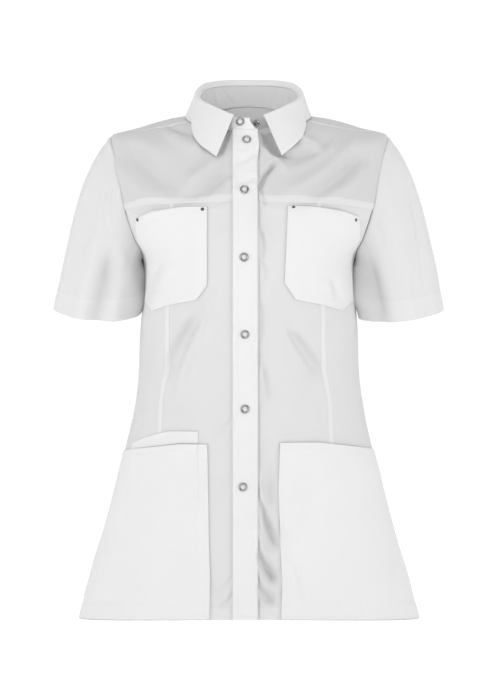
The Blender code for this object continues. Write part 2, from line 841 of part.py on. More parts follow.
def stand_outward(u):
    sine = math.sin(math.radians(u))
    cosine = math.cos(math.radians(u))
    depth = STAND_TOP_FRONT if cosine >= 0 else STAND_TOP_BACK
    return Vector((sine / STAND_TOP_WIDTH**2, -cosine / depth**2, 0)).normalized()


def lap_offset(u):
    """The stand's right end lies over its left end: its offset fades round the right side."""
    turn = min(max((STAND_START - u) / 70.0, 0.0), 1.0)
    return STAND_LAP * (1 - turn * turn * (3 - 2 * turn))


STAND_RIGHT_END = ((0.0, 9.4), (0.25, 5.6), (0.6, 2.6), (1.0, 0.7))
STAND_END_DROP = 3.5 * MM


def fall_angles():
    return [lerp(-FALL_START, -360 + FALL_START, column / FALL_COLUMNS) for column in range(FALL_COLUMNS + 1)]


def collar_stand():
    rows = 4
    angles = [0.0, -3.0, -9.5] + fall_angles() + [-350.5, -357.0, STAND_END]
    outer = []
    inner = []
    for row in range(rows + 1):
        t = row / rows
        outer_line = []
        inner_line = []
        for column in range(len(angles)):
            u = angles[column]
            drop = 0.0
            if column == 0:
                u = straight_read(STAND_RIGHT_END, t, 1)
                drop = STAND_END_DROP * t
            if column == len(angles) - 1:
                drop = STAND_END_DROP * t
            lift = Vector((0, 0, 2 * SEAM_HALF_GAP * (1 - t) - drop))
            offset = lap_offset(u)
            outer_line.append(stand_point(u, t, offset) + lift)
            inner_line.append(stand_point(u, t, offset - COLLAR_WALL) + lift)
        outer.append(outer_line)
        inner.append(inner_line)
    return wall("collar_stand", outer, inner)


def leaf_edge_place(u):
    """Place on the body below the collar leaf's outer edge, for the leaf's column u."""
    turn = (u + 180) % 360 - 180
    leaf = LEAF_LEFT if turn > 0 else LEAF_RIGHT
    angle = abs(turn)
    if angle <= 80:
        x = smooth_read(leaf, angle, 1) * MM
        z = smooth_read(leaf, angle, 2) * MM
        return locate(x, z)
    x = leaf[-1][1] * MM
    z = leaf[-1][2] * MM
    near_u, near_v = locate(x, z)
    t = (angle - 80) / 100
    side = 1 if turn > 0 else -1
    edge_v = smooth_read(LEAF_BACK, angle, 1)
    return side * lerp(abs(near_u), 180.0, t), lerp(near_v, edge_v, min(1.0, t * 5))


def collar_fall():
    """The leaf: up from the stand, over the fold and down to its outer edge."""
    columns = []
    for u in fall_angles():
        turn = abs((u + 180) % 360 - 180)
        back_share = min(max((turn - FALL_START) / 75.0, 0.0), 1.0)
        back_share = back_share * back_share * (3 - 2 * back_share)
        rise = lerp(0.6 * MM, 4.5 * MM, back_share)
        radius = lerp(3.4 * MM, 4.4 * MM, back_share)
        outward = stand_outward(u)
        offset = lap_offset(u)
        base = stand_point(u, 1.0, offset - COLLAR_WALL) + Vector((0, 0, 0.35 * MM))
        line = [base]
        for step in range(5):
            angle = math.pi * (1 - step / 4)
            line.append(
                base
                + outward * (radius + radius * math.cos(angle))
                + Vector((0, 0, rise + radius * math.sin(angle)))
            )
        edge_u, edge_v = leaf_edge_place(u)
        edge = surface(edge_u, edge_v) + normal_at(edge_u, edge_v) * LEAF_LIFT
        fold_end = line[-1]
        for step in range(1, 5):
            t = step / 4
            bulge = outward * (lerp(3.0, 1.0, back_share) * MM * math.sin(math.pi * t) * (1 - 0.5 * t))
            drop = Vector((0, 0, -2.0 * MM * math.sin(math.pi * t)))
            line.append(fold_end.lerp(edge, t) + bulge + drop)
        columns.append(line)
    rows = [list(row) for row in zip(*columns)]
    normals = grid_normals(rows)
    if normals[5][FALL_COLUMNS // 2].dot(Vector((0, 1, 0))) < 0:
        normals = [[-n for n in line] for line in normals]
    inner = [[p - n * COLLAR_WALL for p, n in zip(line, normal_line)] for line, normal_line in zip(rows, normals)]
    return wall("collar_fall", rows, inner)


def placket_places(side_edges):
    """Rows from hem to neck between two edges, each a function of the ring."""
    rings = list(LOW_RINGS)
    steps = len(FRONT_ARM_RINGS) - 1
    seam_ring = front_edge(front_rows()[-1], -1, placket_angle)[1]
    rings += [lerp(ARMPIT, seam_ring, step / steps) for step in range(1, steps + 1)]
    rings += [lerp(seam_ring, NECK, i / YOKE_ROWS) for i in range(1, YOKE_ROWS)] + [PLACKET_TOP]
    return [side_edges(v) for v in rings]


def under_placket_grid():
    right_rows = [line[0] for line in front_centre_grid(-1)] + [line[0] for line in front_yoke_grid(-1)[1:]]
    left_rows = [line[0] for line in front_centre_grid(1)] + [line[0] for line in front_yoke_grid(1)[1:]]
    grid = []
    for (right_u, right_v), (left_u, left_v) in zip(right_rows, left_rows):
        grid.append([(lerp(right_u, left_u, t), lerp(right_v, left_v, t)) for t in (0, 0.5, 1)])
    return grid


def top_placket_grid():
    def edges(v):
        middle_z = seen(surface(0, v))[1]
        right = angle_at_x(v, PLACKET_OUTER_EDGE, -40.0, 40.0)
        left = angle_at_x(v, straight_read(PLACKET_EDGE, middle_z * 1000, 1) * MM, -40.0, 40.0)
        return [(lerp(right, left, t), v) for t in (0, 0.5, 1)]

    return placket_places(edges)


def along(corners, count):
    """Points evenly spaced along straight lines through corners, corners kept."""
    lengths = [math.dist(a, b) for a, b in zip(corners, corners[1:])]
    shares = [max(1, round(count * length / sum(lengths))) for length in lengths]
    while sum(shares) > count:
        shares[shares.index(max(shares))] -= 1
    while sum(shares) < count:
        shares[lengths.index(max(lengths))] += 1
    points = [corners[0]]
    for (a, b), share in zip(zip(corners, corners[1:]), shares):
        points += [(lerp(a[0], b[0], k / share), lerp(a[1], b[1], k / share)) for k in range(1, share + 1)]
    return points


def chest_pocket_grid(outline, side):
    top = [locate(x * MM, z * MM) for x, z in along(outline["top"], CHEST_POCKET_COLUMNS)]
    bottom = [locate(x * MM, z * MM) for x, z in along(outline["bottom"], CHEST_POCKET_COLUMNS)]
    outer_u = side * outline["outer_angle"]
    bottom[-1] = (outer_u, bottom[-1][1])
    left = []
    right = []
    inner_top = outline["top"][0]
    inner_bottom = outline["bottom"][0]
    for i in range(CHEST_POCKET_ROWS + 1):
        t = i / CHEST_POCKET_ROWS
        left.append(locate(lerp(inner_bottom[0], inner_top[0], t) * MM, lerp(inner_bottom[1], inner_top[1], t) * MM))
        right.append((lerp(bottom[-1][0], top[-1][0], t), lerp(bottom[-1][1], top[-1][1], t)))
    return patch(bottom, top, left, right)


def hip_pocket_grid(side, inner_line, first_column, top_inner_z, top_outer_z):
    """Rows and columns of the panels below, cut at the pocket's inner, top and side edges."""
    centre = front_centre_grid(side)
    outer = front_side_grid(side)
    lowest = hip_pocket_top(side, 85, top_inner_z, top_outer_z)
    below = [v for v in LOW_RINGS if v < lowest - 0.12]
    rising = sorted(inner_line)

    def columns(v_of, row):
        def miss(u):
            x, z = seen(surface(u, v_of(u)))
            return x - straight_read(rising, z * 1000, 1) * MM

        inner_u = bisect(side * 8.0, side * 45.0, miss)
        angles = [u for u, v in centre[row][first_column:]] + [u for u, v in outer[row][1:-1]]
        angles = [inner_u, lerp(inner_u, angles[0], 0.5)] + angles
        last = lerp(angles[-1], side * 90, HIP_POCKET_OUTER_SHARE)
        return [(u, v_of(u)) for u in angles + [last]]

    clear = POCKET_HEM_CLEARANCE / ((RINGS[1][1] - RINGS[0][1]) * MM)
    grid = [columns(lambda u: clear, 0)]
    for row, v in enumerate(below):
        if row > 0:
            grid.append(columns(lambda u, v=v: v, row))
    top_row = len(below)
    grid.append(columns(lambda u: hip_pocket_top(side, u, top_inner_z, top_outer_z), top_row))
    return grid


def hip_pocket_top(side, u, top_inner_z, top_outer_z):
    """Ring of a hip pocket's top edge at an angle."""
    inner_v = bisect(0.0, ARMPIT, lambda v: seen(surface(side * 25, v))[1] - top_inner_z * MM)
    outer_v = ring_for_side_z(top_outer_z * MM)
    return lerp(inner_v, outer_v, min(1.0, max(0.0, (abs(u) - 45) / 40)))


def phone_pocket_grid():
    """Top of the phone pocket, above the hip pocket that covers the rest of it."""
    grid = []
    inner_u = locate(PHONE_POCKET_INNER * MM, PHONE_POCKET_TOP * MM)[0]
    top_v = locate(PHONE_POCKET_INNER * MM, PHONE_POCKET_TOP * MM)[1]
    for t in (0, 0.5, 1):
        line = []
        for k in range(8):
            u = lerp(inner_u, -PHONE_POCKET_OUTER_ANGLE, k / 7)
            low = hip_pocket_top(-1, u, HIP_POCKET_TOP_INNER_RIGHT, HIP_POCKET_TOP_OUTER_RIGHT) + PHONE_POCKET_RISE
            line.append((u, lerp(low, top_v - PHONE_POCKET_SLOPE * k / 7, t)))
        grid.append(line)
    return grid


def turned(name, profile, sides, place, axis, colour):
    """A turned piece of metal from a closed profile of radius and height, or one from the axis."""
    work = bmesh.new()
    rings = []
    for radius, height in profile:
        if radius == 0:
            rings.append([work.verts.new((0, 0, height))])
            continue
        angles = [2 * math.pi * k / sides for k in range(sides)]
        rings.append([work.verts.new((radius * math.cos(a), radius * math.sin(a), height)) for a in angles])
    pairs = list(zip(rings, rings[1:]))
    if profile[0][0] != 0:
        pairs.append((rings[-1], rings[0]))
    for low, high in pairs:
        for k in range(sides):
            after = (k + 1) % sides
            if len(low) == 1:
                work.faces.new((low[0], high[after], high[k]))
            elif len(high) == 1:
                work.faces.new((low[k], low[after], high[0]))
            else:
                work.faces.new((low[k], low[after], high[after], high[k]))
    bmesh.ops.recalc_face_normals(work, faces=work.faces)
    mesh = bpy.data.meshes.new(name)
    work.to_mesh(mesh)
    work.free()
    made = add_object(name, mesh, colour, 1.0, 0.3)
    made.location = place
    made.rotation_mode = "QUATERNION"
    made.rotation_quaternion = axis.to_track_quat("Z", "Y")
    return made


def ring_profile(outer, inner, height):
    middle = (outer + inner) / 2
    return ((inner, 0.1 * height), (middle, 0), (outer, 0.15 * height), (outer * 0.97, 0.7 * height),
            (middle, height), (inner * 1.04, 0.75 * height))


def dome_profile(radius, height):
    return ((0, 0), (radius, 0), (radius, 0.4 * height), (0.6 * radius, height), (0, height * 1.08))


def body_metal(name, x, z, lift, profile, sides, colour):
    u, v = locate(x * MM, z * MM)
    axis = normal_at(u, v)
    return turned(name, profile, sides, surface(u, v) + axis * lift, axis, colour)


def main():
    for existing in list(bpy.data.objects):
        bpy.data.objects.remove(existing, do_unlink=True)

    sleeve("sleeve_left", 1)
    sleeve("sleeve_right", -1)
    panel("back", back_grid(), "lrt")
    panel("back_yoke", back_yoke_grid(), "lrbt")
    for side, name in ((1, "left"), (-1, "right")):
        panel(f"front_centre_{name}", front_centre_grid(side), "lrt")
        panel(f"front_side_{name}", front_side_grid(side), "lrt")
        panel(f"front_yoke_{name}", front_yoke_grid(side), "lrbt")
    panel("placket_left", under_placket_grid(), "lrt")
    overlay("placket_right", top_placket_grid(), PLACKET_LIFT, PLACKET_WALL)
    collar_stand()
    collar_fall()
    overlay("chest_pocket_right", chest_pocket_grid(CHEST_POCKET_RIGHT, -1), CURVED_PATCH_LIFT, WALL)
    overlay("chest_pocket_left", chest_pocket_grid(CHEST_POCKET_LEFT, 1), CURVED_PATCH_LIFT, WALL)
    right_tops = (HIP_POCKET_TOP_INNER_RIGHT, HIP_POCKET_TOP_OUTER_RIGHT)
    left_tops = (HIP_POCKET_TOP_INNER_LEFT, HIP_POCKET_TOP_OUTER_LEFT)
    overlay("hip_pocket_right", hip_pocket_grid(-1, HIP_POCKET_INNER_RIGHT, 3, *right_tops), PATCH_LIFT, WALL)
    overlay("hip_pocket_left", hip_pocket_grid(1, HIP_POCKET_INNER_LEFT, 2, *left_tops), PATCH_LIFT, WALL)
    overlay("phone_pocket_right", phone_pocket_grid(), PATCH_LIFT, WALL)

    snap = ring_profile(SNAP_OUTER_RADIUS, SNAP_INNER_RADIUS, SNAP_HEIGHT)
    placket_top = PLACKET_LIFT + PLACKET_WALL + 0.35 * MM
    for number, (x, z) in enumerate(SNAPS, 1):
        body_metal(f"snap_{number}", x, z, placket_top, snap, SNAP_SIDES, RING_METAL)
    for name, angle, profile, colour in (
        ("snap_collar", COLLAR_SNAP_ANGLE, snap, RING_METAL),
        ("snap_collar_stud", COLLAR_STUD_ANGLE, dome_profile(STUD_RADIUS, SNAP_HEIGHT), DARK_METAL),
    ):
        share = COLLAR_SNAP_HEIGHT_SHARE
        offset = lap_offset(angle)
        across = stand_point(angle + 2, share, offset) - stand_point(angle - 2, share, offset)
        upward = stand_point(angle, 1.0, offset) - stand_point(angle, 0.4, offset)
        axis = across.cross(upward).normalized()
        place = stand_point(angle, share, offset) + axis * 0.4 * MM
        turned(name, profile, SNAP_SIDES, place, axis, colour)
    rivet = dome_profile(RIVET_RADIUS, 1.2 * MM)
    for number, (x, z) in enumerate(RIVETS, 1):
        body_metal(f"rivet_{number}", x, z, CURVED_PATCH_LIFT + WALL + 0.35 * MM, rivet, 10, DARK_METAL)


main()
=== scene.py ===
"""Short-sleeved medical tunic: its cloth, sewing, snaps and stage, made over the packed solids.

Metres, +Z up, the front faces -Y, +X is the wearer's left. Places on the body are given by an
angle u, in degrees from the centre front towards the wearer's left, and a ring v, from 0 at the
hem to NECK. Places "as seen" are on the plane y = 0, from VIEW_DISTANCE in front.
"""
import math
from functools import partial

import bpy
import numpy as np
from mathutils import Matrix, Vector


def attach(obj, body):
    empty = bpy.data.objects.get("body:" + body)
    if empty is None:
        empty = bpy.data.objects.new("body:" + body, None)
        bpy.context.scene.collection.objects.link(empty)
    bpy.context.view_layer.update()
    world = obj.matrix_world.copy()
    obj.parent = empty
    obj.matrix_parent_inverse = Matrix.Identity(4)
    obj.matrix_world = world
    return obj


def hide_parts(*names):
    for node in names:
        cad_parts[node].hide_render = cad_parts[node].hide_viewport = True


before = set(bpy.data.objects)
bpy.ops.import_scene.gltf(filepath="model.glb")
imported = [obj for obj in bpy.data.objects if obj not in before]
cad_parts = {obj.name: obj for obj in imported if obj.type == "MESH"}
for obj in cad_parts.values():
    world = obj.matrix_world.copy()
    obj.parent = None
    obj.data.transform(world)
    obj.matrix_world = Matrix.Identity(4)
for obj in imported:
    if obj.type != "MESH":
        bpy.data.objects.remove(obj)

bl_info = {
    "name": "Medical tunic",
    "version": (1, 0, 0),
    "blender": (4, 5, 0),
    "location": "3D View > Sidebar > Tunic",
    "description": "Cloth, sewing, snaps and stage of a short-sleeved medical tunic",
    "category": "Object",
}

MM = 0.001
VIEW_DISTANCE = 4.0
VIEW_Z = -0.336
FRAME_HEIGHT = 1.0143
FRAME_CENTRE_X = 1.45 * MM

# Lines of the garment, as seen
CENTRE_FRONT = -5.4 * MM
PLACKET_OUTER_EDGE = -23.8 * MM
PLACKET_SEAM_RIGHT = -20.6 * MM
PLACKET_SEAM_LEFT = 14.2 * MM
# Rings of the armpit, of the back yoke's seam and of the neck
ARMPIT = 10.0
BACK_SEAM = 14.2
NECK = 19.0
# Where the shoulder seam meets the neck, in degrees from the centre front
SHOULDER_SEAM_NECK_ANGLE = 56.0
# Columns of the solids' front yokes: by the centre and side panels, the neck and the shoulder
CENTRE_COLUMNS = 5
SIDE_COLUMNS = 7
NECK_COLUMNS = 5
SHOULDER_COLUMNS = 7

# Rings of the body, hem to neck, in millimetres:
# front_z, side_z, back_z, half_width, front_depth, back_depth, squareness
RINGS = (
    (-715.5, -723.5, -722, 246.5, 123, 124, 2.05),
    (-657, -659, -658, 229, 121, 122, 2.08),
    (-606, -606, -606, 213.5, 119, 120.5, 2.10),
    (-553.5, -553.5, -553.5, 198.7, 117, 118.5, 2.14),
    (-519, -519, -519, 189, 115.5, 115, 2.16),
    (-467, -467, -467, 176, 113.5, 107.5, 2.20),
    (-414, -414, -414, 164.8, 113, 97, 2.24),
    (-362, -362, -362, 159.3, 117.5, 91, 2.26),
    (-307, -307, -307, 157, 126, 93.5, 2.30),
    (-250, -250, -250, 151.5, 134, 101, 2.30),
    (-205, -205, -205, 153, 137, 108.5, 2.30),
    (-178, -178, -178, 176, 134.5, 112, 2.30),
    (-150, -150, -150, 193, 128.5, 112, 2.30),
    (-121, -118, -121, 205, 119.5, 109, 2.30),
    (-98, -88, -96, 208, 110.5, 103.5, 2.30),
    (-78.5, -57, -71, 204.5, 102, 96.5, 2.30),
    (-61.5, -26, -46.5, 198.5, 94, 88.5, 2.30),
    (-47.5, -14.8, -21.5, 160, 87, 79.5, 2.20),
    (-35, -1.5, 3.5, 115.5, 81, 69.5, 2.10),
    (-24, 5, 21.5, 71.5, 76, 60, 2.00),
)

# Armhole: ring, how far the seam lies before and behind the side line, in degrees
ARMHOLE = (
    (10, 0, 0),
    (10.12, 9.5, 9.5),
    (10.4, 17.5, 17.8),
    (10.9, 20.5, 21),
    (11.5, 21.4, 22.4),
    (12.1, 21.2, 22.8),
    (12.8, 20.4, 22.2),
    (13.5, 19.2, 20.6),
    (14.2, 17.2, 18.2),
    (14.8, 14.2, 15),
    (15.3, 11, 11.4),
    (15.7, 7.2, 7.4),
    (15.9, 3.2, 3.3),
    (16, 0, 0),
)
# Rings of the armhole's points: front panels, front yokes, back yoke and back
ARMHOLE_FRONT_LOW = (10, 10.12, 10.4, 10.9, 11.5, 12.1)
ARMHOLE_FRONT_HIGH = (13.3, 14, 14.7, 15.3, 15.7, 15.9, 16)
ARMHOLE_YOKE = (16, 15.9, 15.7, 15.3, 14.8, BACK_SEAM)
ARMHOLE_BACK = (10, 10.12, 10.4, 10.9, 11.6, 12.4, 13.3, BACK_SEAM)
# Columns of the solids' back yoke along its seam
BACK_COLUMNS = 20

# Forward shoulder seam: ring, angle from the centre front in degrees
SHOULDER_SEAM = (
    (16, 90),
    (16.4, 83.5),
    (16.8, 78.2),
    (17.2, 73.2),
    (17.6, 68.8),
    (18.05, 64.2),
    (18.5, 60.2),
    (19, SHOULDER_SEAM_NECK_ANGLE),
)

# Chest seam as seen: distance from the centre front, height, in millimetres
CHEST_SEAM = ((0, -114.5), (40, -119.5), (90, -120.5), (140, -122.5), (185, -130))

# Princess seam as seen: height, distance from the centre front, in millimetres
PRINCESS_SEAM = (
    (-725, 150),
    (-640, 139),
    (-550, 130),
    (-450, 124),
    (-416, 122.5),
    (-391, 118.5),
    (-362, 114),
    (-283, 113),
    (-200, 109),
    (-115, 107),
)

# Right edge of the top placket as seen: height, place, in millimetres
PLACKET_EDGE = (
    (-725, 13),
    (-300, 13),
    (-90, 12.8),
    (-66, 11.9),
    (-41, 15.4),
    (-26, 13.4),
    (-22, 12.6),
)

# Folds and creases, in millimetres: x and z at the top, middle and bottom, half breadth,
# height, where a trough's is below zero. The large ones are those of the solids.
FRONT_FOLDS = (
    (-70, -278, -93, -313, -112, -375, 15, -4),
    (-60, -318, -78, -342, -96, -372, 14, 2.5),
    (56, -307, 78, -338, 101, -375, 15, -3.5),
    (34, -318, 55, -352, 76, -392, 14, 2.5),
    (20, -372, 24, -405, 32, -440, 11, -2.5),
    (-206, -560, -197, -620, -199, -700, 15, -4),
    (193, -540, 207, -620, 219, -700, 15, -4),
)
BACK_FOLDS = (
    (-62, -290, -88, -340, -116, -400, 17, -4),
    (66, -300, 90, -345, 120, -395, 17, -4),
    (-30, -480, -42, -600, -60, -715, 24, -5),
    (48, -470, 66, -590, 82, -715, 24, -5),
    (140, -520, 158, -620, 176, -715, 20, -4),
    (-138, -530, -160, -620, -178, -715, 20, -4),
)
BUST_FULLNESS = 5.0 * MM
BUST_X = 84.0 * MM
BUST_Z = -205.0 * MM
BUST_BREADTH = 68.0 * MM

FRONT_CREASES = (
    (-196, -58, -166, -96, -130, -122, 15, 6.4),
    (-184, -28, -145, -72, -102, -106, 13, -7.4),
    (-98, -114, -64, -102, -28, -72, 8.5, -5.8),
    (-90, -92, -68, -78, -42, -58, 9.5, 5.4),
    (-54, -120, -38, -100, -20, -86, 9, 4.2),
    (16, -48, -2, -58, -24, -69, 4.5, -2.4),
    (14, -86, -4, -91, -23, -101, 4, -2.2),
    (12, -94, -4, -100, -23, -110, 4.5, 1.6),
    (-118, -12, -99, -19, -84, -22, 4, -3.9),
    (-122, -22, -98, -34, -70, -46, 8.1, 5.2),
    (41, -64, 24, -82, 14, -104, 4, -8.2),
    (21, -42, 38, -60, 55, -74, 5, 5.5),
    (34, -50, 62, -52, 96, -46, 5.4, -4.3),
    (70, -26, 88, -35, 106, -42, 6.3, 5.1),
    (120, -27, 84, -52, 52, -62, 8.1, -5.1),
    (150, -34, 110, -76, 56, -108, 9.9, 7),
    (164, -52, 132, -86, 92, -112, 8.1, -6.2),
    (172, -66, 148, -94, 118, -114, 7.2, 4.3),
    (17, -104, 20, -114, 24, -126, 3.1, -3.1),
    (15, -160, 20, -180, 18, -206, 4.5, -3.2),
    (22, -160, 29, -176, 28, -196, 5, 1.4),
    (15, -206, 22, -220, 18, -240, 4, -1.8),
    (15, -262, 18, -292, 16, -326, 4.5, -1.8),
    (-72, -284, -94, -320, -116, -376, 9, -6.6),
    (-62, -290, -83, -336, -108, -412, 7, 4.8),
    (60, -310, 82, -340, 103, -372, 8.5, -5.8),
    (48, -304, 70, -342, 90, -372, 6, 3.6),
    (20, -360, 24, -386, 28, -410, 5, -2.9),
    (-27, -426, -42, -440, -57, -446, 5, 1.4),
    (-25, -436, -38, -452, -54, -460, 5, -1.2),
    (29, -500, 30, -600, 30, -722, 9.5, -6),
    (12, -516, 24, -560, 43, -606, 6.5, 4.6),
    (16, -556, 27, -588, 44, -626, 5.5, -8.1),
    (12, -600, 26, -632, 44, -652, 5, 4.3),
    (13, -628, 25, -654, 43, -672, 5.5, -8.8),
    (12, -654, 26, -676, 43, -690, 4.5, 3.5),
    (12, -676, 22, -692, 36, -704, 5, -5.9),
    (14, -700, 28, -708, 44, -714, 5, 1.9),
    (-23, -690, -32, -702, -42, -716, 3.5, -2),
    (-23, -678, -34, -692, -50, -704, 3.5, 1.6),
    (-24, -664, -36, -680, -54, -692, 4, -1.6),
    (-24, -520, -40, -545, -53, -580, 7, -1.4),
    (-150, -432, -166, -452, -178, -470, 8, -2.2),
    (-140, -420, -160, -440, -174, -452, 7, 1.6),
    (-128, -128, -150, -131, -172, -130, 3.5, -1.4),
    (-120, -137, -142, -141, -158, -146, 3.5, 1.2),
    (52, -126, 74, -129, 92, -129, 3, -1.4),
    (100, -128, 118, -131, 136, -136, 3, -1.4),
    (20, -128, 34, -132, 52, -134, 4, 1.2),
    (-28, -124, -44, -130, -60, -133, 4, 1.2),
    (-128, -210, -137, -228, -138, -262, 6.5, -3.6),
    (-110, -215, -118, -232, -122, -250, 7, 2.6),
    (119, -232, 127, -252, 130, -268, 6, -3.2),
    (108, -236, 114, -252, 117, -264, 6, 2.2),
    (52, -590, 66, -630, 74, -700, 13, -3.6),
    (62, -646, 69, -676, 74, -700, 5, 2.2),
    (-190, -528, -188, -586, -196, -650, 7, 1.8),
    (-206, -590, -196, -640, -200, -690, 8, 2),
    (193, -540, 208, -600, 219, -680, 7, -2),
    (178, -500, 192, -560, 204, -620, 8, 2),
    (-150, -300, -146, -330, -150, -372, 11, -1.8),
    (150, -296, 147, -330, 152, -380, 11, -1.8),
    (-98, -500, -108, -590, -112, -690, 24, -3.2),
    (80, -500, 92, -590, 100, -680, 24, -2.8),
    (-44, -250, -60, -272, -80, -292, 8, 1.6),
    (-30, -330, -52, -366, -60, -420, 16, -1.8),
    (36, -420, 60, -440, 92, -452, 12, -1.4),
)
# Hollows of the neck's opening beside the top placket, as seen, on the pieces under it
NECK_HOLLOWS = (
    (22, 6, 31, -25, 42, -54, 9, -14),
    (17, 2, 21, -20, 26, -42, 5, -5),
    (-26, -6, -35, -34, -46, -58, 4, -4),
)
BACK_CREASES = (
    (-120, -60, -96, -92, -60, -130, 12.6, 4.9),
    (118, -64, 92, -98, 54, -134, 11.7, 4.3),
    (-164, -118, -140, -170, -104, -230, 11.7, -5.5),
    (166, -120, 138, -176, 100, -240, 11.7, -4.9),
    (-140, -190, -112, -232, -72, -286, 9, 3.9),
    (138, -196, 110, -240, 76, -288, 9, 3.9),
    (-104, -330, -60, -346, -10, -352, 8.1, -5.5),
    (-92, -352, -48, -368, 4, -376, 8.1, 4.1),
    (110, -342, 66, -358, 18, -362, 8.1, -4.6),
    (120, -368, 80, -384, 36, -392, 8.1, 3.9),
    (-136, -384, -104, -404, -56, -416, 9, -4.1),
    (-86, -470, -98, -560, -112, -660, 13.5, 4.9),
    (8, -500, 12, -590, 20, -690, 14.4, 4.3),
    (104, -490, 116, -580, 128, -690, 13.5, 4.6),
    (-18, -150, -12, -200, -16, -262, 11.7, -2.8),
    (30, -160, 26, -215, 30, -270, 10.8, 2.2),
    (-60, -480, -66, -570, -78, -690, 11, -5),
    (66, -520, 76, -600, 84, -700, 12, -5.2),
    (-150, -470, -166, -560, -188, -680, 12, 4.2),
    (152, -480, 170, -570, 190, -690, 12, -4.6),
)

# Sleeves, as on the wearer's left
CUFF_CENTRE = (220.5 * MM, -5 * MM, -284 * MM)
CUFF_ACROSS = (61.5 * MM, 0, 8.5 * MM)
CUFF_FORWARD = (0, -53 * MM, -11.5 * MM)
# Troughs down each sleeve: angle round the cuff, start and end down the sleeve, breadth, depth
SLEEVE_FOLDS = ((38, 0.25, 1.1, 15, 3.5 * MM), (-60, 0.05, 0.75, 16, 3 * MM))
# Creases down each sleeve: degrees round the cuff from its front, towards the outside, at the
# start and the end; start and end as shares of its length; half breadth in degrees; depth
SLEEVE_CREASES = {
    "right": (
        (-26, 0, 0.26, 1.30, 15, 13 * MM),
        (-56, -62, 0.20, 1.30, 13, -5 * MM),
        (-74, -80, -0.05, 1.20, 18, -10 * MM),
        (14, 34, 0.20, 1.30, 15, -3.5 * MM),
        (34, 6, 0.14, 0.34, 7, 2.2 * MM),
        (28, 2, 0.10, 0.26, 5, -1.6 * MM),
        (52, 60, 0.40, 1.20, 8, 1.4 * MM),
        (120, 138, 0.05, 0.95, 9, 2.4 * MM),
        (160, 176, 0.20, 1.10, 9, -2 * MM),
        (205, 196, 0.10, 0.90, 8, 2.2 * MM),
    ),
    "left": (
        (-76, -80, -0.05, 0.90, 18, -12 * MM),
        (-60, -25, 0.08, 1.25, 13, 10 * MM),
        (-76, -66, 0.25, 1.20, 12, -4.5 * MM),
        (64, 40, 0.22, 0.80, 7, 2.4 * MM),
        (50, 30, 0.30, 0.85, 7, -1.4 * MM),
        (20, 36, 0.55, 1.20, 9, 1.2 * MM),
        (-20, -12, 0.04, 0.36, 7, 1.6 * MM),
        (122, 140, 0.05, 0.90, 9, 2.2 * MM),
        (166, 178, 0.20, 1.10, 9, -1.8 * MM),
        (208, 198, 0.10, 0.90, 8, 2.2 * MM),
    ),
}
# How far each cuff rises towards the body
CUFF_INNER_RISE = {"right": 14 * MM, "left": 6 * MM}
# The back of each sleeve lies against the body
SLEEVE_UNDERSIDE = (-106, -106, 0.02, 1.00, 32, -10.5 * MM)

# Top of the collar stand: half width, depth before and behind the neck's middle, and then its
# angle from the centre front with its height in millimetres
STAND_TOP_WIDTH = 72.7 * MM
STAND_TOP_FRONT = 73.5 * MM
STAND_TOP_BACK = 63.0 * MM
STAND_TOP = (
    (0, -5.5),
    (16, -5),
    (30, 1.5),
    (45, 8.5),
    (60, 14),
    (75, 19.5),
    (90, 27.5),
    (105, 37.5),
    (120, 45.5),
    (150, 51.5),
    (180, 52.5),
)
# The stand runs from its right end round the wearer's right, the back and the left, in degrees
STAND_START = 10.0
STAND_END = -362.0
STAND_LAP = 2.7 * MM
# Right end of the stand: share of its height, angle
STAND_RIGHT_END = ((0, 9.4), (0.25, 5.6), (0.6, 2.6), (1, 0.7))
STAND_END_DROP = 3.5 * MM
STAND_RECESS = 8.5 * MM
STAND_THICKNESS = 1.9 * MM
# How far both ends of the collar leaf are from the centre front, in degrees
FALL_START = 16.5
# Outer edge of the collar leaf on the front, as seen: angle of its column, x, z in millimetres
LEAF_RIGHT = (
    (16.5, -47, -58.5),
    (30, -58.5, -50),
    (43, -70.5, -41.5),
    (57, -78.5, -30.5),
    (70, -82.5, -19.5),
    (80, -83.5, -8),
)
LEAF_LEFT = (
    (16.5, 47.5, -56.5),
    (30, 60.5, -46.5),
    (43, 71, -37),
    (57, 78, -27.5),
    (70, 81.5, -16.5),
    (80, 83, -6),
)
LEAF_FRONT_END = 80.0
LEAF_LIFT = 6.0 * MM
LEAF_SIDE_DROP = 2.6 * MM
LEAF_BACK_DROP = 1.7 * MM
LEAF_THICKNESS = 1.6 * MM
# Outer edge of the collar leaf from the side to the back: angle, ring of the body below it
LEAF_BACK = ((80, 18.83), (100, 18.85), (125, 18.72), (150, 18.56), (180, 18.5))

# Pocket outlines as seen, in millimetres: the corners in turn
CHEST_POCKETS = {
    "right": {
        "top": ((-60.5, -128.5), (-97.5, -129.5), (-139.5, -135.5), (-161.5, -145)),
        "bottom": ((-60.5, -242), (-75.5, -263), (-118.5, -272), (-139, -280), (-150, -262)),
    },
    "left": {
        "top": ((56.5, -126.5), (90, -129), (130, -133.5), (158, -142.5)),
        "bottom": ((51.5, -239), (68, -263.5), (107, -271), (133.5, -279), (149.5, -262)),
    },
}
CHEST_POCKET_OUTER_ANGLE = 73.0
# Inner edges of the hip pockets as seen, in millimetres: height, place
HIP_POCKET_INNER = {
    "right": ((-724, -57), (-669, -56), (-620, -57.5), (-472.5, -60)),
    "left": ((-724, 46.5), (-682, 48), (-640, 46.5), (-540, 42.5), (-470, 45)),
}
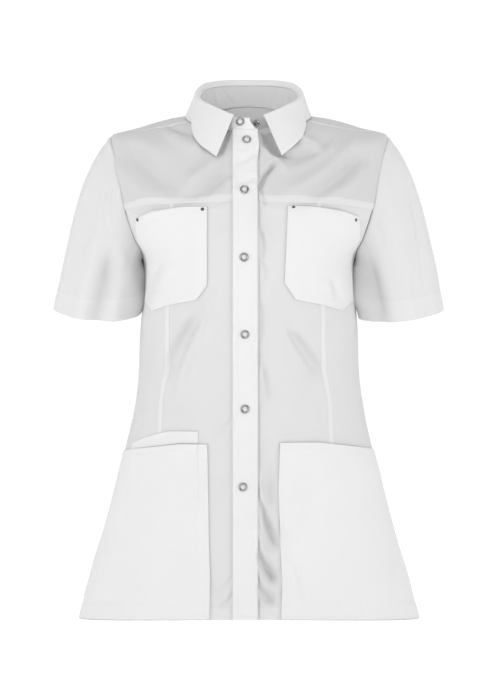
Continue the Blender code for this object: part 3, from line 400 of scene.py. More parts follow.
# Heights of the hip pockets' mouths: as seen at the inner edge, and on the side line
HIP_POCKET_TOP_INNER = {"right": -472.5, "left": -470}
HIP_POCKET_TOP_OUTER = {"right": -482, "left": -480}
HIP_POCKET_OUTER_ANGLE = 86.0
POCKET_HEM_CLEARANCE = 1.2 * MM
PHONE_POCKET_TOP = -453.5
PHONE_POCKET_SLOPE = 0.36
PHONE_POCKET_INNER = -73.5
PHONE_POCKET_OUTER_ANGLE = 75.0
PHONE_POCKET_BOTTOM = -630.0

# Snaps on the placket as seen, in millimetres
SNAPS = ((-3.2, -32), (-6.5, -104.5), (-7.2, -201.5), (-5.8, -313), (-5.8, -421.5), (-8.7, -534.5))
COLLAR_SNAP_ANGLE = -9.5
COLLAR_STUD_ANGLE = -350.6
COLLAR_SNAP_HEIGHT_SHARE = 0.68
# Rivets as seen, in millimetres
RIVETS = ((-67, -133), (-159.5, -147), (64.5, -130.5), (153.5, -147.5))

# Heights above the body's surface, in metres
BAND_RISE = 0.5 * MM
TOP_PLACKET_LIFT = 0.9 * MM
POCKET_LIFT = 1.1 * MM
HIP_POCKET_LIFT = 1.5 * MM
PHONE_POCKET_LIFT = 0.5 * MM

# Thickness of the cloth, and how far patches and plackets stand off at their outer face
THIN_CLOTH = 0.7 * MM
PATCH_RISE = 1.3 * MM
# How far the side panels and the yokes lap over the panels beside them
PRINCESS_LAP = 4.0 * MM
CHEST_LAP = 3.2 * MM

# How bright the cloth looks, from 0, where one ply has the dark inside behind it, to 1. The one-ply panels
# and sleeves are set lighter than the one-ply yokes: painted light, for the light that falls more on them
# than on the upturned yokes
PANEL_TONE = 0.45
SLEEVE_TONE = 0.6
BAND_TONE = 0.54
SEAM_TONE = 0.85
# How much painted shade darkens the line along a folded edge, and what a hem adds
FOLD_SHADE = 2.2
HEM_TONE = 0.14

# Waves of loose cloth: share, radians a metre along x, y and z, shift
LOOSE_WAVES = ((1, 41, 0, 23, 1.1), (1, -29, 30, 47, 0.4), (0.7, 83, 51, -37, 2.2), (0.5, 61, -43, 97, 0))
LOOSE_WAVE_HEIGHT = 0.28 * MM
# Small waves along a seam: share, radians a metre, shift for each seed
PUCKERS = ((0.45, 640, 3.1), (0.35, 1130, 1.7), (0.2, 270, 5.3))

# Distances from an edge at which a grid has points, in metres
EDGE = tuple(d * MM for d in (0, 0.35, 0.9, 1.7, 3, 4.6, 6.2, 7.2, 8, 8.9, 10.6, 13))
NEAR_STITCH = 3
FAR_STITCH = 7
HEM = tuple(d * MM for d in (0, 0.4, 1.2, 4, 8, 12, 15.5, 17.5, 18.6, 19.8, 22))
HEM_STITCH = 7
BOTH_SIDES = (NEAR_STITCH, -1 - NEAR_STITCH, FAR_STITCH, -1 - FAR_STITCH)
HIP_EDGE = EDGE + tuple(d * MM for d in (13.8, 14.6, 15.4, 16.2, 17.0, 17.8, 18.8, 20.5))
HEM_DEPTH = 18.6 * MM
CUFF_HEM = tuple(d * MM for d in (0, 0.4, 1.2, 5, 11, 17, 23, 28, 30.5, 31.8, 33.4, 36))
CUFF_STITCH = 8
CUFF_HEM_DEPTH = 31.8 * MM

# Kinds of edges: under, hem and fold by name, a band by its width and tone
BAND = (8.0 * MM, BAND_TONE)
SEAM_BAND = (8.0 * MM, SEAM_TONE)
CHEST_BAND = (7.4 * MM, BAND_TONE)
PANEL_EDGES = {"left": "under", "right": "under", "top": "under", "bottom": "hem"}
# Steps, in degrees and in rings, with which outward directions are found
PROBE_ANGLE = 0.4
PROBE_RING = 0.02
# Steps with which a point that appears at a place is searched
LOCATE_ANGLE = 0.05
LOCATE_RING = 0.005
# Share of a piece's height below the armpit
LOW_SHARE = 0.84
PLACKET_LOW_SHARE = 0.82


def lerp(start, end, t):
    return start + (end - start) * t


def soft_step(t):
    t = np.clip(t, 0.0, 1.0)
    return t * t * (3 - 2 * t)


def bell(distance, breadth):
    """A soft hump: 1 at no distance, and nearly 0 past twice its breadth."""
    return np.exp(-((distance / breadth) ** 2))


def wrapped(degrees):
    """The same angle, between -180 and 180."""
    return (degrees + 180) % 360 - 180


def sine_cosine(degrees):
    radians = np.radians(degrees)
    return np.sin(radians), np.cos(radians)


def run_lengths(points):
    """Distance of each point from the first, along the points."""
    return np.concatenate([[0.0], np.cumsum(np.linalg.norm(np.diff(points, axis=0), axis=1))])


def smooth_read(rows, place, column):
    """Read a column at places between rows, on a smooth curve through them."""
    keys = np.array([row[0] for row in rows], float)
    values = np.array([row[column] for row in rows], float)
    slopes = np.empty_like(values)
    slopes[1:-1] = (values[2:] - values[:-2]) / (keys[2:] - keys[:-2])
    slopes[0] = (values[1] - values[0]) / (keys[1] - keys[0])
    slopes[-1] = (values[-1] - values[-2]) / (keys[-1] - keys[-2])
    place = np.clip(place, keys[0], keys[-1])
    index = np.clip(np.searchsorted(keys, place, side="right") - 1, 0, len(keys) - 2)
    span = keys[index + 1] - keys[index]
    t = (place - keys[index]) / span
    return (
        (2 * t**3 - 3 * t**2 + 1) * values[index]
        + (t**3 - 2 * t**2 + t) * slopes[index] * span
        + (3 * t**2 - 2 * t**3) * values[index + 1]
        + (t**3 - t**2) * slopes[index + 1] * span
    )


def straight_read(rows, place, column):
    """Read a column at places between rows, on straight lines."""
    return np.interp(place, [row[0] for row in rows], [row[column] for row in rows])


NUMBERED_RINGS = [(float(number),) + ring for number, ring in enumerate(RINGS)]


def ring_at(v):
    """The ring's sizes at places between rings, in metres."""
    values = [smooth_read(NUMBERED_RINGS, v, column) for column in range(1, 8)]
    return [value * MM for value in values[:6]] + [values[6]]


def fold_height(folds, x, z):
    """Height of folds, as soft troughs and ridges that fade at both ends."""
    height = np.zeros_like(x)
    for x0, z0, x1, z1, x2, z2, breadth, depth in folds:
        share = (z * 1000 - z0) / (z2 - z0)
        bounded = np.clip(share, 0.0, 1.0)
        middle_share = (z1 - z0) / (z2 - z0)
        bend = x1 - (x0 + (x2 - x0) * middle_share)
        line_x = x0 + (x2 - x0) * bounded + bend * np.sin(math.pi * bounded)
        lean = math.cos(math.atan2(x2 - x0, z0 - z2))
        across = (x * 1000 - line_x) * lean / breadth
        fade = np.sin(math.pi * np.clip(share * 0.8 + 0.1, 0.0, 1.0))
        near = (z * 1000 < z0 + 40) & (z * 1000 > z2 - 40)
        height += np.where(near, depth * MM * fade * np.exp(-across * across), 0.0)
    return height


def crease_height(creases, x, z):
    """Height of creases, which run along a bent line of any lean and fade at both ends."""
    height = np.zeros_like(x)
    for x0, z0, x1, z1, x2, z2, breadth, depth in creases:
        along = np.array([x2 - x0, z2 - z0])
        length = np.hypot(*along)
        along = along / length
        share = ((x * 1000 - x0) * along[0] + (z * 1000 - z0) * along[1]) / length
        off = (x * 1000 - x0) * along[1] - (z * 1000 - z0) * along[0]
        middle_share = ((x1 - x0) * along[0] + (z1 - z0) * along[1]) / length
        middle_off = (x1 - x0) * along[1] - (z1 - z0) * along[0]
        bounded = np.clip(share, 0.0, 1.0)
        bend = middle_off * bounded * (1 - bounded) / max(middle_share * (1 - middle_share), 0.1)
        across = (off - bend) / (breadth * (0.8 + 0.4 * bounded))
        fade = soft_step(share / 0.35 + 0.35) * soft_step((1 - share) / 0.35 + 0.35)
        height += depth * MM * fade * np.exp(-across * across)
    return height


def surface(u, v):
    """Points of the solids' outer surface."""
    front_z, side_z, back_z, width, front, back, power = ring_at(v)
    sine, cosine = sine_cosine(u)
    depth = np.where(cosine >= 0, front, back)
    end_z = np.where(cosine >= 0, front_z, back_z)
    radius = (np.abs(sine / width) ** power + np.abs(cosine / depth) ** power) ** (-1 / power)
    x = radius * sine
    y = -radius * cosine
    z = side_z + (end_z - side_z) * (y / depth) ** 2
    out_x = x / width**2
    out_y = y / depth**2
    size = np.hypot(out_x, out_y)
    full_x = (np.abs(x) - BUST_X) / BUST_BREADTH
    full_z = (z - BUST_Z) / BUST_BREADTH
    front_height = BUST_FULLNESS * np.exp(-(full_x**2) - full_z**2) * cosine
    front_height = front_height + fold_height(FRONT_FOLDS, x, z) * np.clip(cosine * 4, 0, 1)
    back_height = fold_height(BACK_FOLDS, x, z) * np.clip(-cosine * 4, 0, 1)
    height = np.where(cosine >= 0, front_height, back_height)
    return np.stack([x + out_x / size * height, y + out_y / size * height, z], axis=-1)


def seen(points):
    """Where points appear from the front: x and z on the plane y = 0."""
    scale = VIEW_DISTANCE / (VIEW_DISTANCE + points[..., 1])
    return points[..., 0] * scale, VIEW_Z + (points[..., 2] - VIEW_Z) * scale


def unit(vectors):
    return vectors / np.maximum(np.linalg.norm(vectors, axis=-1, keepdims=True), 1e-12)


def waves(points):
    """Low, uneven waves of cloth that nothing pulls flat, in metres."""
    x, y, z = np.moveaxis(points, -1, 0)
    return LOOSE_WAVE_HEIGHT * sum(
        share * np.sin(rate_x * x + rate_z * z + rate_y * y + shift)
        for share, rate_x, rate_y, rate_z, shift in LOOSE_WAVES
    )


def relief(u, points):
    """Height of the creases and waves above the solids' surface, in metres."""
    x, z = seen(points)
    cosine = np.cos(np.radians(u))
    front = crease_height(FRONT_CREASES, x, z) * np.clip(cosine * 4, 0, 1)
    back = crease_height(BACK_CREASES, points[..., 0], points[..., 2]) * np.clip(-cosine * 4, 0, 1)
    return (np.where(cosine >= 0, front, back) + waves(points)) * bpy.context.scene.tunic_cloth.crease_depth


def outward_at(u, v):
    """Outward directions of the solids' surface."""
    across = surface(u + PROBE_ANGLE, v) - surface(u - PROBE_ANGLE, v)
    upward = surface(u, np.minimum(v + PROBE_RING, NECK)) - surface(u, np.maximum(v - PROBE_RING, 0))
    return unit(np.cross(across, upward))


def body(u, v, lift=0.0):
    """Points on the creased body and its outward directions, moved out by lift."""
    u = np.asarray(u, float)
    v = np.asarray(v, float)
    points = surface(u, v)
    outward = outward_at(u, v)
    return points + outward * (relief(u, points) + lift)[..., None], outward


def bisect(low, high, miss):
    """Places between low and high where miss changes its sign."""
    low = np.array(low, float)
    high = np.array(high, float)
    low_positive = miss(low) > 0
    for _ in range(30):
        middle = (low + high) / 2
        same = (miss(middle) > 0) == low_positive
        low = np.where(same, middle, low)
        high = np.where(same, high, middle)
    return (low + high) / 2


def seen_samples():
    """Coarse places of the front with where they appear, to start a search from."""
    u, v = np.meshgrid(np.arange(-88.0, 89.0, 2.0), np.arange(0.0, NECK, 0.2))
    x, z = seen(surface(u, v))
    return u.ravel(), v.ravel(), x.ravel(), z.ravel()


SAMPLE_U, SAMPLE_V, SAMPLE_X, SAMPLE_Z = seen_samples()


def locate(x, z):
    """Angles and rings of the front's points that appear at x, z."""
    x = np.atleast_1d(np.asarray(x, float))
    z = np.atleast_1d(np.asarray(z, float))
    nearest = np.argmin((SAMPLE_X - x[:, None]) ** 2 + (SAMPLE_Z - z[:, None]) ** 2, axis=1)
    u = SAMPLE_U[nearest]
    v = SAMPLE_V[nearest]
    for _ in range(10):
        here_x, here_z = seen(surface(u, v))
        side_x, side_z = seen(surface(u + LOCATE_ANGLE, v))
        up_x, up_z = seen(surface(u, v + LOCATE_RING))
        a = (side_x - here_x) / LOCATE_ANGLE
        b = (up_x - here_x) / LOCATE_RING
        c = (side_z - here_z) / LOCATE_ANGLE
        d = (up_z - here_z) / LOCATE_RING
        whole = a * d - b * c
        whole = np.where(np.abs(whole) < 1e-12, 1e9, whole)
        u = u + np.clip((d * (x - here_x) - b * (z - here_z)) / whole, -3, 3)
        v = np.clip(v + np.clip((a * (z - here_z) - c * (x - here_x)) / whole, -0.3, 0.3), 0, NECK - 0.02)
    return u, v


def armhole_front(v):
    return 90 - smooth_read(ARMHOLE, v, 1)


def armhole_back(v):
    return 90 + smooth_read(ARMHOLE, v, 2)


def chest_miss(u, v):
    x, z = seen(surface(u, v))
    return z - straight_read(CHEST_SEAM, np.abs(x - CENTRE_FRONT) * 1000, 1) * MM


RING_STEPS = np.linspace(0.0, NECK, 400)
SEAM_STEPS = np.linspace(0.0, 13.6, 320)
ANGLE_STEPS = np.linspace(-96.0, 96.0, 500)
CHEST_RINGS = bisect(np.full(500, 11.3), np.full(500, 15.5), lambda v: chest_miss(ANGLE_STEPS, v))
CHEST_SEAM_ARMHOLE = float(bisect(11.6, 13.2, lambda v: chest_miss(armhole_front(v), v)))
FRONT_ARM_RINGS = ARMHOLE_FRONT_LOW + (CHEST_SEAM_ARMHOLE,)
SIDE_HEIGHTS = ring_at(np.linspace(0.0, ARMPIT, 200))[1]


def angle_at_x(v, x):
    """Angles near the centre front, on rings v, where points appear at x."""
    widest = np.full(np.shape(v), 40.0)
    return bisect(-widest, widest, lambda u: seen(surface(u, v))[0] - x)


PLACKET_ANGLES = {
    1: angle_at_x(RING_STEPS, PLACKET_SEAM_LEFT),
    -1: -angle_at_x(RING_STEPS, PLACKET_SEAM_RIGHT),
}


def princess_miss(side, u, v):
    x, z = seen(surface(side * u, v))
    return side * (x - CENTRE_FRONT) - smooth_read(PRINCESS_SEAM, z * 1000, 1) * MM


PRINCESS_ANGLES = {
    side: bisect(
        np.full(SEAM_STEPS.shape, 20.0), np.full(SEAM_STEPS.shape, 85.0),
        partial(princess_miss, side, v=SEAM_STEPS),
    )
    for side in (1, -1)
}


def chest_ring(u):
    return np.interp(u, ANGLE_STEPS, CHEST_RINGS)


def placket_angle(side, v):
    return np.interp(v, RING_STEPS, PLACKET_ANGLES[side])


def princess_angle(side, v):
    return np.interp(v, SEAM_STEPS, PRINCESS_ANGLES[side])


def low_ring(t):
    """Ring of a level row: t is 0 at the hem and 1 at the armpit."""
    height = lerp(RINGS[0][1], RINGS[int(ARMPIT)][1], t) * MM
    return np.interp(height, SIDE_HEIGHTS, np.linspace(0.0, ARMPIT, 200))


def seam_place(side, find, share):
    """Angle and ring of a lengthwise seam: share is 0 at the armpit's level, 1 at the chest seam."""
    v = np.full(np.shape(share), ARMPIT)
    for _ in range(6):
        v = lerp(ARMPIT, chest_ring(side * find(side, v)), share)
    return find(side, v), v


def by_index(values, share):
    """Values spaced evenly over 0 to 1, read on a smooth curve."""
    rows = [(float(index), value) for index, value in enumerate(values)]
    return smooth_read(rows, np.asarray(share) * (len(values) - 1), 1)


def low_and_high(t, share):
    """A row's share as two: one of what is below the armpit, one of what is above."""
    return np.clip(t / share, 0, 1), np.clip((t - share) / (1 - share), 0, 1)


def front_place(side, inner, outer, s, t):
    """A front panel's places between two edges, each a function of a low or a high row."""
    low, high = low_and_high(t, LOW_SHARE)
    inner_u, inner_v = inner(low, high)
    outer_u, outer_v = outer(low, high)
    u = lerp(inner_u, outer_u, s)
    v = lerp(inner_v, outer_v, s)
    ends = [edge(np.ones_like(low), np.ones_like(high)) for edge in (inner, outer)]
    top_u, top_v = (lerp(ends[0][k], ends[1][k], s) for k in (0, 1))
    return side * u, v + (chest_ring(side * top_u) - top_v) * high**2


def seam_edge(side, find):
    def edge(low, high):
        seam_u, seam_v = seam_place(side, find, high)
        level = low_ring(low)
        return np.where(high > 0, seam_u, find(side, level)), np.where(high > 0, seam_v, level)

    return edge


def side_edge(low, high):
    """The side seam, and above the armpit the armhole."""
    ring = by_index(FRONT_ARM_RINGS, high)
    return np.where(high > 0, armhole_front(ring), 90.0), np.where(high > 0, ring, low_ring(low))


def front_centre_place(side, s, t):
    return front_place(side, seam_edge(side, placket_angle), seam_edge(side, princess_angle), s, t)


def front_side_place(side, s, t):
    return front_place(side, seam_edge(side, princess_angle), side_edge, s, t)


def coons(bottom, top, left, right, s, t):
    """Places between four edges, each a function of a share that gives angles and rings."""
    result = []
    corners = [[edge(np.array(end)) for end in (0.0, 1.0)] for edge in (bottom, top)]
    edges = (bottom(s), top(s), left(t), right(t))
    for k in (0, 1):
        across = lerp(edges[2][k], edges[3][k], s)
        upward = lerp(edges[0][k], edges[1][k], t)
        level = lerp(
            lerp(corners[0][0][k], corners[0][1][k], s), lerp(corners[1][0][k], corners[1][1][k], s), t
        )
        result.append(across + upward - level)
    return result[0], result[1]


def shoulder_seam_place(share):
    """Angle and ring of the forward shoulder seam, from the shoulder's tip to the neck."""
    return by_index([u for v, u in SHOULDER_SEAM], share), by_index([v for v, u in SHOULDER_SEAM], share)


def front_yoke_place(side, s, t):
    centre_share = CENTRE_COLUMNS / (CENTRE_COLUMNS + SIDE_COLUMNS)
    neck_share = NECK_COLUMNS / (NECK_COLUMNS + SHOULDER_COLUMNS)
    start_u, start_v = seam_place(side, placket_angle, np.array(1.0))
    princess_u = seam_place(side, princess_angle, np.array(1.0))[0]
    arm_u = armhole_front(CHEST_SEAM_ARMHOLE)

    def bottom(share):
        u = np.interp(share, (0, centre_share, 1), (start_u, princess_u, arm_u))
        return side * u, chest_ring(side * u)

    def top(share):
        neck_u = lerp(placket_angle(side, NECK), SHOULDER_SEAM_NECK_ANGLE, share / neck_share)
        seam_u, seam_v = shoulder_seam_place(1 - (share - neck_share) / (1 - neck_share))
        on_neck = share <= neck_share
        return side * np.where(on_neck, neck_u, seam_u), np.where(on_neck, NECK, seam_v)

    def left(share):
        v = lerp(start_v, NECK, share)
        return side * placket_angle(side, v), v

    def right(share):
        v = by_index((CHEST_SEAM_ARMHOLE,) + ARMHOLE_FRONT_HIGH, share)
        return side * armhole_front(v), v

    return coons(bottom, top, left, right, s, t)


def back_place(s, t):
    low, high = low_and_high(t, LOW_SHARE)
    edge_v = np.where(high > 0, by_index(ARMHOLE_BACK, high), low_ring(low))
    edge_u = np.where(high > 0, armhole_back(edge_v), 90.0)
    middle_v = np.where(high > 0, lerp(ARMPIT, BACK_SEAM, high), low_ring(low))
    return lerp(edge_u, 360 - edge_u, s), lerp(middle_v, edge_v, (2 * s - 1) ** 2)


def back_yoke_place(s, t):
    arm = len(ARMHOLE_YOKE) - 1
    count = BACK_COLUMNS + 2 * arm

    def bottom(share):
        index = np.asarray(share) * count
        start_v = by_index(ARMHOLE_YOKE, np.clip(index / arm, 0, 1))
        end_v = by_index(ARMHOLE_YOKE, np.clip((count - index) / arm, 0, 1))
        seam_u = lerp(armhole_back(BACK_SEAM), 360 - armhole_back(BACK_SEAM), (index - arm) / BACK_COLUMNS)
        u = np.where(index < arm, armhole_back(start_v), seam_u)
        u = np.where(index > count - arm, 360 - armhole_back(end_v), u)
        v = np.where(index < arm, start_v, np.where(index > count - arm, end_v, BACK_SEAM))
        return u, v

    def top(share):
        share = np.asarray(share)
        u = lerp(SHOULDER_SEAM_NECK_ANGLE, 360 - SHOULDER_SEAM_NECK_ANGLE, share)
        return u, np.full(share.shape, NECK)

    def right(share):
        u, v = shoulder_seam_place(share)
        return 360 - u, v

    return coons(bottom, top, shoulder_seam_place, right, s, t)


def stations(lengths, step, start, end):
    """Shares of each length: at set distances from both ends, and even between them."""
    lengths = np.asarray(lengths, float)[:, None]
    count = max(2, int(round((lengths.max() - start[-1] - end[-1]) / step)))
    first = np.array(start) / lengths
    last = 1 - np.array(end)[::-1] / lengths
    even = np.linspace(0, 1, count + 1)[1:-1]
    return np.concatenate([first, lerp(first[:, -1:], last[:, :1], even), last], axis=1)


def path_lengths(points):
    return np.linalg.norm(np.diff(points, axis=-2), axis=-1).sum(axis=-1)


def lay_out(place, step, rims):
    """Grid of a piece: its places, and each point's distance from the four edges in metres."""
    left, right, bottom, top = (rims.get(side, EDGE) for side in ("left", "right", "bottom", "top"))
    shares = np.linspace(0, 1, 41)
    s, t = np.meshgrid(shares, shares)
    rough = surface(*place(s, t))
    widths = path_lengths(rough)
    heights = path_lengths(np.swapaxes(rough, 0, 1))
    rows = stations(heights, step, bottom, top).shape[1]
    columns = stations(widths, step, left, right).shape[1]
    row_share = np.linspace(0, 1, rows)
    column_share = np.linspace(0, 1, columns)
    for _ in range(3):
        row_widths = np.interp(row_share, shares, widths)
        column_heights = np.interp(column_share, shares, heights)
        across = stations(np.append(row_widths, widths.max()), step, left, right)[:-1]
        upward = stations(np.append(column_heights, heights.max()), step, bottom, top)[:-1].T
        row_share = upward.mean(axis=1)
        column_share = across.mean(axis=0)
    u, v = place(across, upward)
    distances = {
        "left": across * row_widths[:, None],
        "right": (1 - across) * row_widths[:, None],
        "bottom": upward * column_heights,
        "top": (1 - upward) * column_heights,
    }
    return u, v, distances


def rounded_edge(distance, radius, height):
    """How far an edge's outer face curves in towards its fold."""
    near = np.clip(1 - distance / radius, 0, 1)
    return -height * (1 - np.sqrt(1 - near * near * 0.98))


def stitch_dip(distance, place):
    """The thread draws the cloth in along a line of stitches."""
    return -0.2 * MM * bell(distance - place, 0.75 * MM)


def pucker(along, seed):
    """Uneven small waves along a seam, from -1 to 1."""
    return sum(share * np.sin(along * rate + shift * seed) for share, rate, shift in PUCKERS)


def grid_normals(points, closed=False):
    across = np.gradient(points, axis=1)
    if closed:
        across = np.roll(points, -1, axis=1) - np.roll(points, 1, axis=1)
    upward = np.gradient(points, axis=0)
    return unit(np.cross(across, upward))


def new_piece(name, vertices, faces, sharp=None):
    """A smooth object, with its edges sharp where they turn by more than an angle in degrees."""
    mesh = bpy.data.meshes.new(name)
    mesh.from_pydata(np.asarray(vertices).tolist(), [], np.asarray(faces).tolist())
    mesh.shade_smooth()
    if sharp:
        mesh.set_sharp_from_angle(angle=math.radians(sharp))
    piece = bpy.data.objects.new(name, mesh)
    bpy.context.collection.objects.link(piece)
    return piece


def shell(name, outer, inner, plies, closed):
    """A thin closed shell between two grids of points, with its weave coordinates in metres."""
    rows, columns = outer.shape[:2]
    count = rows * columns
    number = np.arange(count).reshape(rows, columns)
    if closed:
        number = np.concatenate([number, number[:, :1]], axis=1)
    corners = [number[:-1, :-1], number[:-1, 1:], number[1:, 1:], number[1:, :-1]]
    faces = np.stack([corner.ravel() for corner in corners], axis=1)
    rim = [(number[0, 1:], number[0, :-1]), (number[-1, :-1], number[-1, 1:])]
    if not closed:
        rim += [(number[:-1, 0], number[1:, 0]), (number[1:, -1], number[:-1, -1])]
    sides = [np.stack([b, a, a + count, b + count], axis=1)[:, ::-1] for a, b in rim]
    every = np.concatenate([faces, faces[:, ::-1] + count] + sides)
    piece = new_piece(name, np.concatenate([outer.reshape(-1, 3), inner.reshape(-1, 3)]), every, 50)
    mesh = piece.data
    along = run_lengths(outer[:, columns // 2])
    across = np.zeros((rows, columns))
    across[:, 1:] = np.cumsum(np.linalg.norm(np.diff(outer, axis=1), axis=2), axis=1)
    across -= across[:, columns // 2][:, None]
    weave = np.stack([across, np.repeat(along[:, None], columns, axis=1)], axis=-1).reshape(-1, 2)
    loops = np.zeros(len(mesh.loops), np.int32)
    mesh.loops.foreach_get("vertex_index", loops)
    layer = mesh.uv_layers.new(name="weave")
    layer.data.foreach_set("uv", np.concatenate([weave, weave])[loops].ravel().astype(np.float32))
    made = mesh.attributes.new("plies", "FLOAT", "POINT")
    made.data.foreach_set("value", np.concatenate([plies.ravel()] * 2).astype(np.float32))
    mesh.validate()
    return piece


class Cloth:
    """A sewn piece: its outer grid, with outward directions, for its lines of stitches."""

    def __init__(self, name, outer, inner, outward, plies, closed=False):
        grids = (outer, inner, outward, plies)
        if np.sum(grid_normals(outer, closed) * outward) < 0:
            grids = [grid[:, ::-1] for grid in grids]
        self.points, inner, self.outward, plies = grids
        self.piece = shell(name, self.points, inner, plies, closed)
        self.stitches = []

    def stitch(self, columns=(), rows=(), part=slice(None)):
        """Lines of stitches along columns and rows of the grid, or along a part of each."""
        for index in columns:
            self.stitches.append((self.points[part, index], self.outward[part, index]))
        for index in rows:
            self.stitches.append((self.points[index, part], self.outward[index, part]))


def edge_relief(distance, kind, along, seed):
    """Height and tone of one edge, which is a band, a hem, a fold, or under another piece; a fold's tone
    holds a line of painted shade along its edge.
    """
    none = np.zeros_like(distance)
    if kind == "under":
        drop = 0.25 * MM * (1 - soft_step(distance / (4.0 * MM)))
        return -(drop + 0.7 * MM * bell(distance, 0.9 * MM)), none
    if kind == "hem":
        stitch = HEM[HEM_STITCH]
        inside = 1 - soft_step((distance - HEM_DEPTH + 0.4 * MM) / (1.2 * MM))
        height = 0.25 * MM * inside + stitch_dip(distance, stitch)
        height += 0.3 * MM * pucker(along * 0.6, seed) * bell(distance - stitch, 5.0 * MM)
        return height, (PANEL_TONE + HEM_TONE) * inside
    stitches = stitch_dip(distance, EDGE[NEAR_STITCH]) + stitch_dip(distance, EDGE[FAR_STITCH])
    puckers = pucker(along, seed) * bell(distance - 4.6 * MM, 3.2 * MM)
    if kind == "fold":
        height = rounded_edge(distance, 1.0 * MM, 0.8 * MM) + stitches + 0.13 * MM * puckers
        # Painted shade: a dark line along the folded edge
        return height, 1 - FOLD_SHADE * bell(distance, 0.5 * MM)
    width, tone = kind
    inside = 1 - soft_step((distance - width + 0.5 * MM) / (0.9 * MM))
    height = BAND_RISE * inside + rounded_edge(distance, 0.9 * MM, 0.35 * MM)
    return height + stitches + 0.16 * MM * puckers, tone * inside


def sew_piece(name, place, edges, step, lift=0.0, thickness=THIN_CLOTH, plies=0.0, extra=None, rims=None):
    """A piece of the body: a thin shell on its places, with its edges sewn as edges says."""
    hems = {side: HEM for side, kind in edges.items() if kind == "hem"}
    u, v, distances = lay_out(place, step, {**hems, **(rims or {})})
    height = np.zeros_like(u)
    layers = np.full(u.shape, float(plies))
    inner_hem = np.zeros_like(u)
    for number, (side, kind) in enumerate(edges.items()):
        along = distances["bottom"] if side in ("left", "right") else distances["left"]
        edge_height, edge_plies_and_shade = edge_relief(distances[side], kind, along, number + len(name))
        height += edge_height
        # Negative tones are painted shade along folded edges, and stand in place of the layers' tone
        layers = np.where(edge_plies_and_shade < 0, edge_plies_and_shade, np.maximum(layers, edge_plies_and_shade))
        if kind == "hem":
            inner_hem = THIN_CLOTH * edge_plies_and_shade
    if extra is not None:
        height += extra(u, v, distances)
    outer, outward = body(u, v, lift + height)
    inner = outer - outward * (thickness + inner_hem)[..., None]
    cloth = Cloth(name, outer, inner, outward, layers)
    # Columns of stitches count from the place's own left edge, also where the faces were turned
    cloth.points = outer
    cloth.outward = outward
    return cloth


THREAD_FACES = np.array(
    ((0, 2, 1), (0, 3, 2), (0, 4, 3), (0, 1, 4), (5, 1, 2), (5, 2, 3), (5, 3, 4), (5, 4, 1))
)


def thread_runs(name, runs):
    """Lines of stitches as one mesh: each stitch is a short thread that dips into the cloth."""
    settings = bpy.context.scene.tunic_sewing
    pitch = settings.stitch_length + settings.stitch_gap
    radius = settings.thread_radius
    corners = []
    for points, outward in runs:
        lengths = run_lengths(points)
        count = int((lengths[-1] - pitch) / pitch)
        if count < 1:
            continue
        starts = np.linspace(0.3 * pitch, lengths[-1] - pitch, count)

        def read(values, share):
            places = starts + settings.stitch_length * share
            return np.stack([np.interp(places, lengths, values[:, k]) for k in range(3)], axis=1)

        first, middle, last = (read(points, share) for share in (0.0, 0.5, 1.0))
        up = unit(read(outward, 0.5))
        side = np.cross(unit(last - first), up)
        rise = middle + up * radius * 0.5
        corners.append(np.stack([
            first - up * radius * 0.4, rise + side * radius, rise + up * radius, rise - side * radius,
            rise - up * radius, last - up * radius * 0.4,
        ], axis=1))
    corners = np.concatenate(corners)
    faces = THREAD_FACES + 6 * np.arange(len(corners))[:, None, None]
    piece = new_piece(name, corners.reshape(-1, 3), faces.reshape(-1, 3))
    piece.data.materials.append(thread_material())
    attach(piece, "root")
    return piece


def finish_cloth(cloth, node):
    """Material, place in the frame and thread of a sewn piece; the solid it replaces is hidden."""
    piece = cloth.piece
    piece.data.materials.append(cloth_material())
    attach(piece, "root")
    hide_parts(node)
    thread_runs(f"{piece.name}_stitches", cloth.stitches)


class NodeSketch:
    """Short calls to add and join the nodes of a material or a world."""

    def __init__(self, owner, shader="Principled BSDF"):
        owner.use_nodes = True
        self.owner = owner
        self.tree = owner.node_tree
        self.shader = self.tree.nodes[shader]
        self.coordinates = self.add("TexCoord").outputs
        self.place = self.coordinates["Object"]

    def give(self, inputs, values):
        """Join each output to its input, and set the inputs whose values are plain."""
        for key, value in values.items():
            if hasattr(value, "is_output"):
                self.tree.links.new(value, inputs[key])
            else:
                inputs[key].default_value = value

    def shade(self, values):
        self.give(self.shader.inputs, values)

    def add(self, kind, values=None, **settings):
        node = self.tree.nodes.new(f"ShaderNode{kind}")
        for key, value in settings.items():
            setattr(node, key, value)
        self.give(node.inputs, values or {})
        return node

    def math(self, operation, *values):
        return self.add("Math", dict(enumerate(values)), operation=operation).outputs[0]

    def noise(self, place, scale, detail, **more):
        values = {"Vector": place, "Scale": scale, "Detail": detail, **more}
        return self.add("TexNoise", values).outputs["Fac"]

    def mix(self, factor, first, second, **settings):
        values = {"Factor": factor, "A": first, "B": second}
        return self.add("Mix", values, data_type="RGBA", **settings).outputs["Result"]

    def spread(self, value, low, high):
        """A share from 0 to 1 spread over low to high."""
        return self.add("MapRange", {"Value": value, "To Min": low, "To Max": high}).outputs[0]

    def bump(self, height, strength, distance):
        values = {"Height": height, "Strength": strength, "Distance": distance}
        self.shade({"Normal": self.add("Bump", values).outputs[0]})


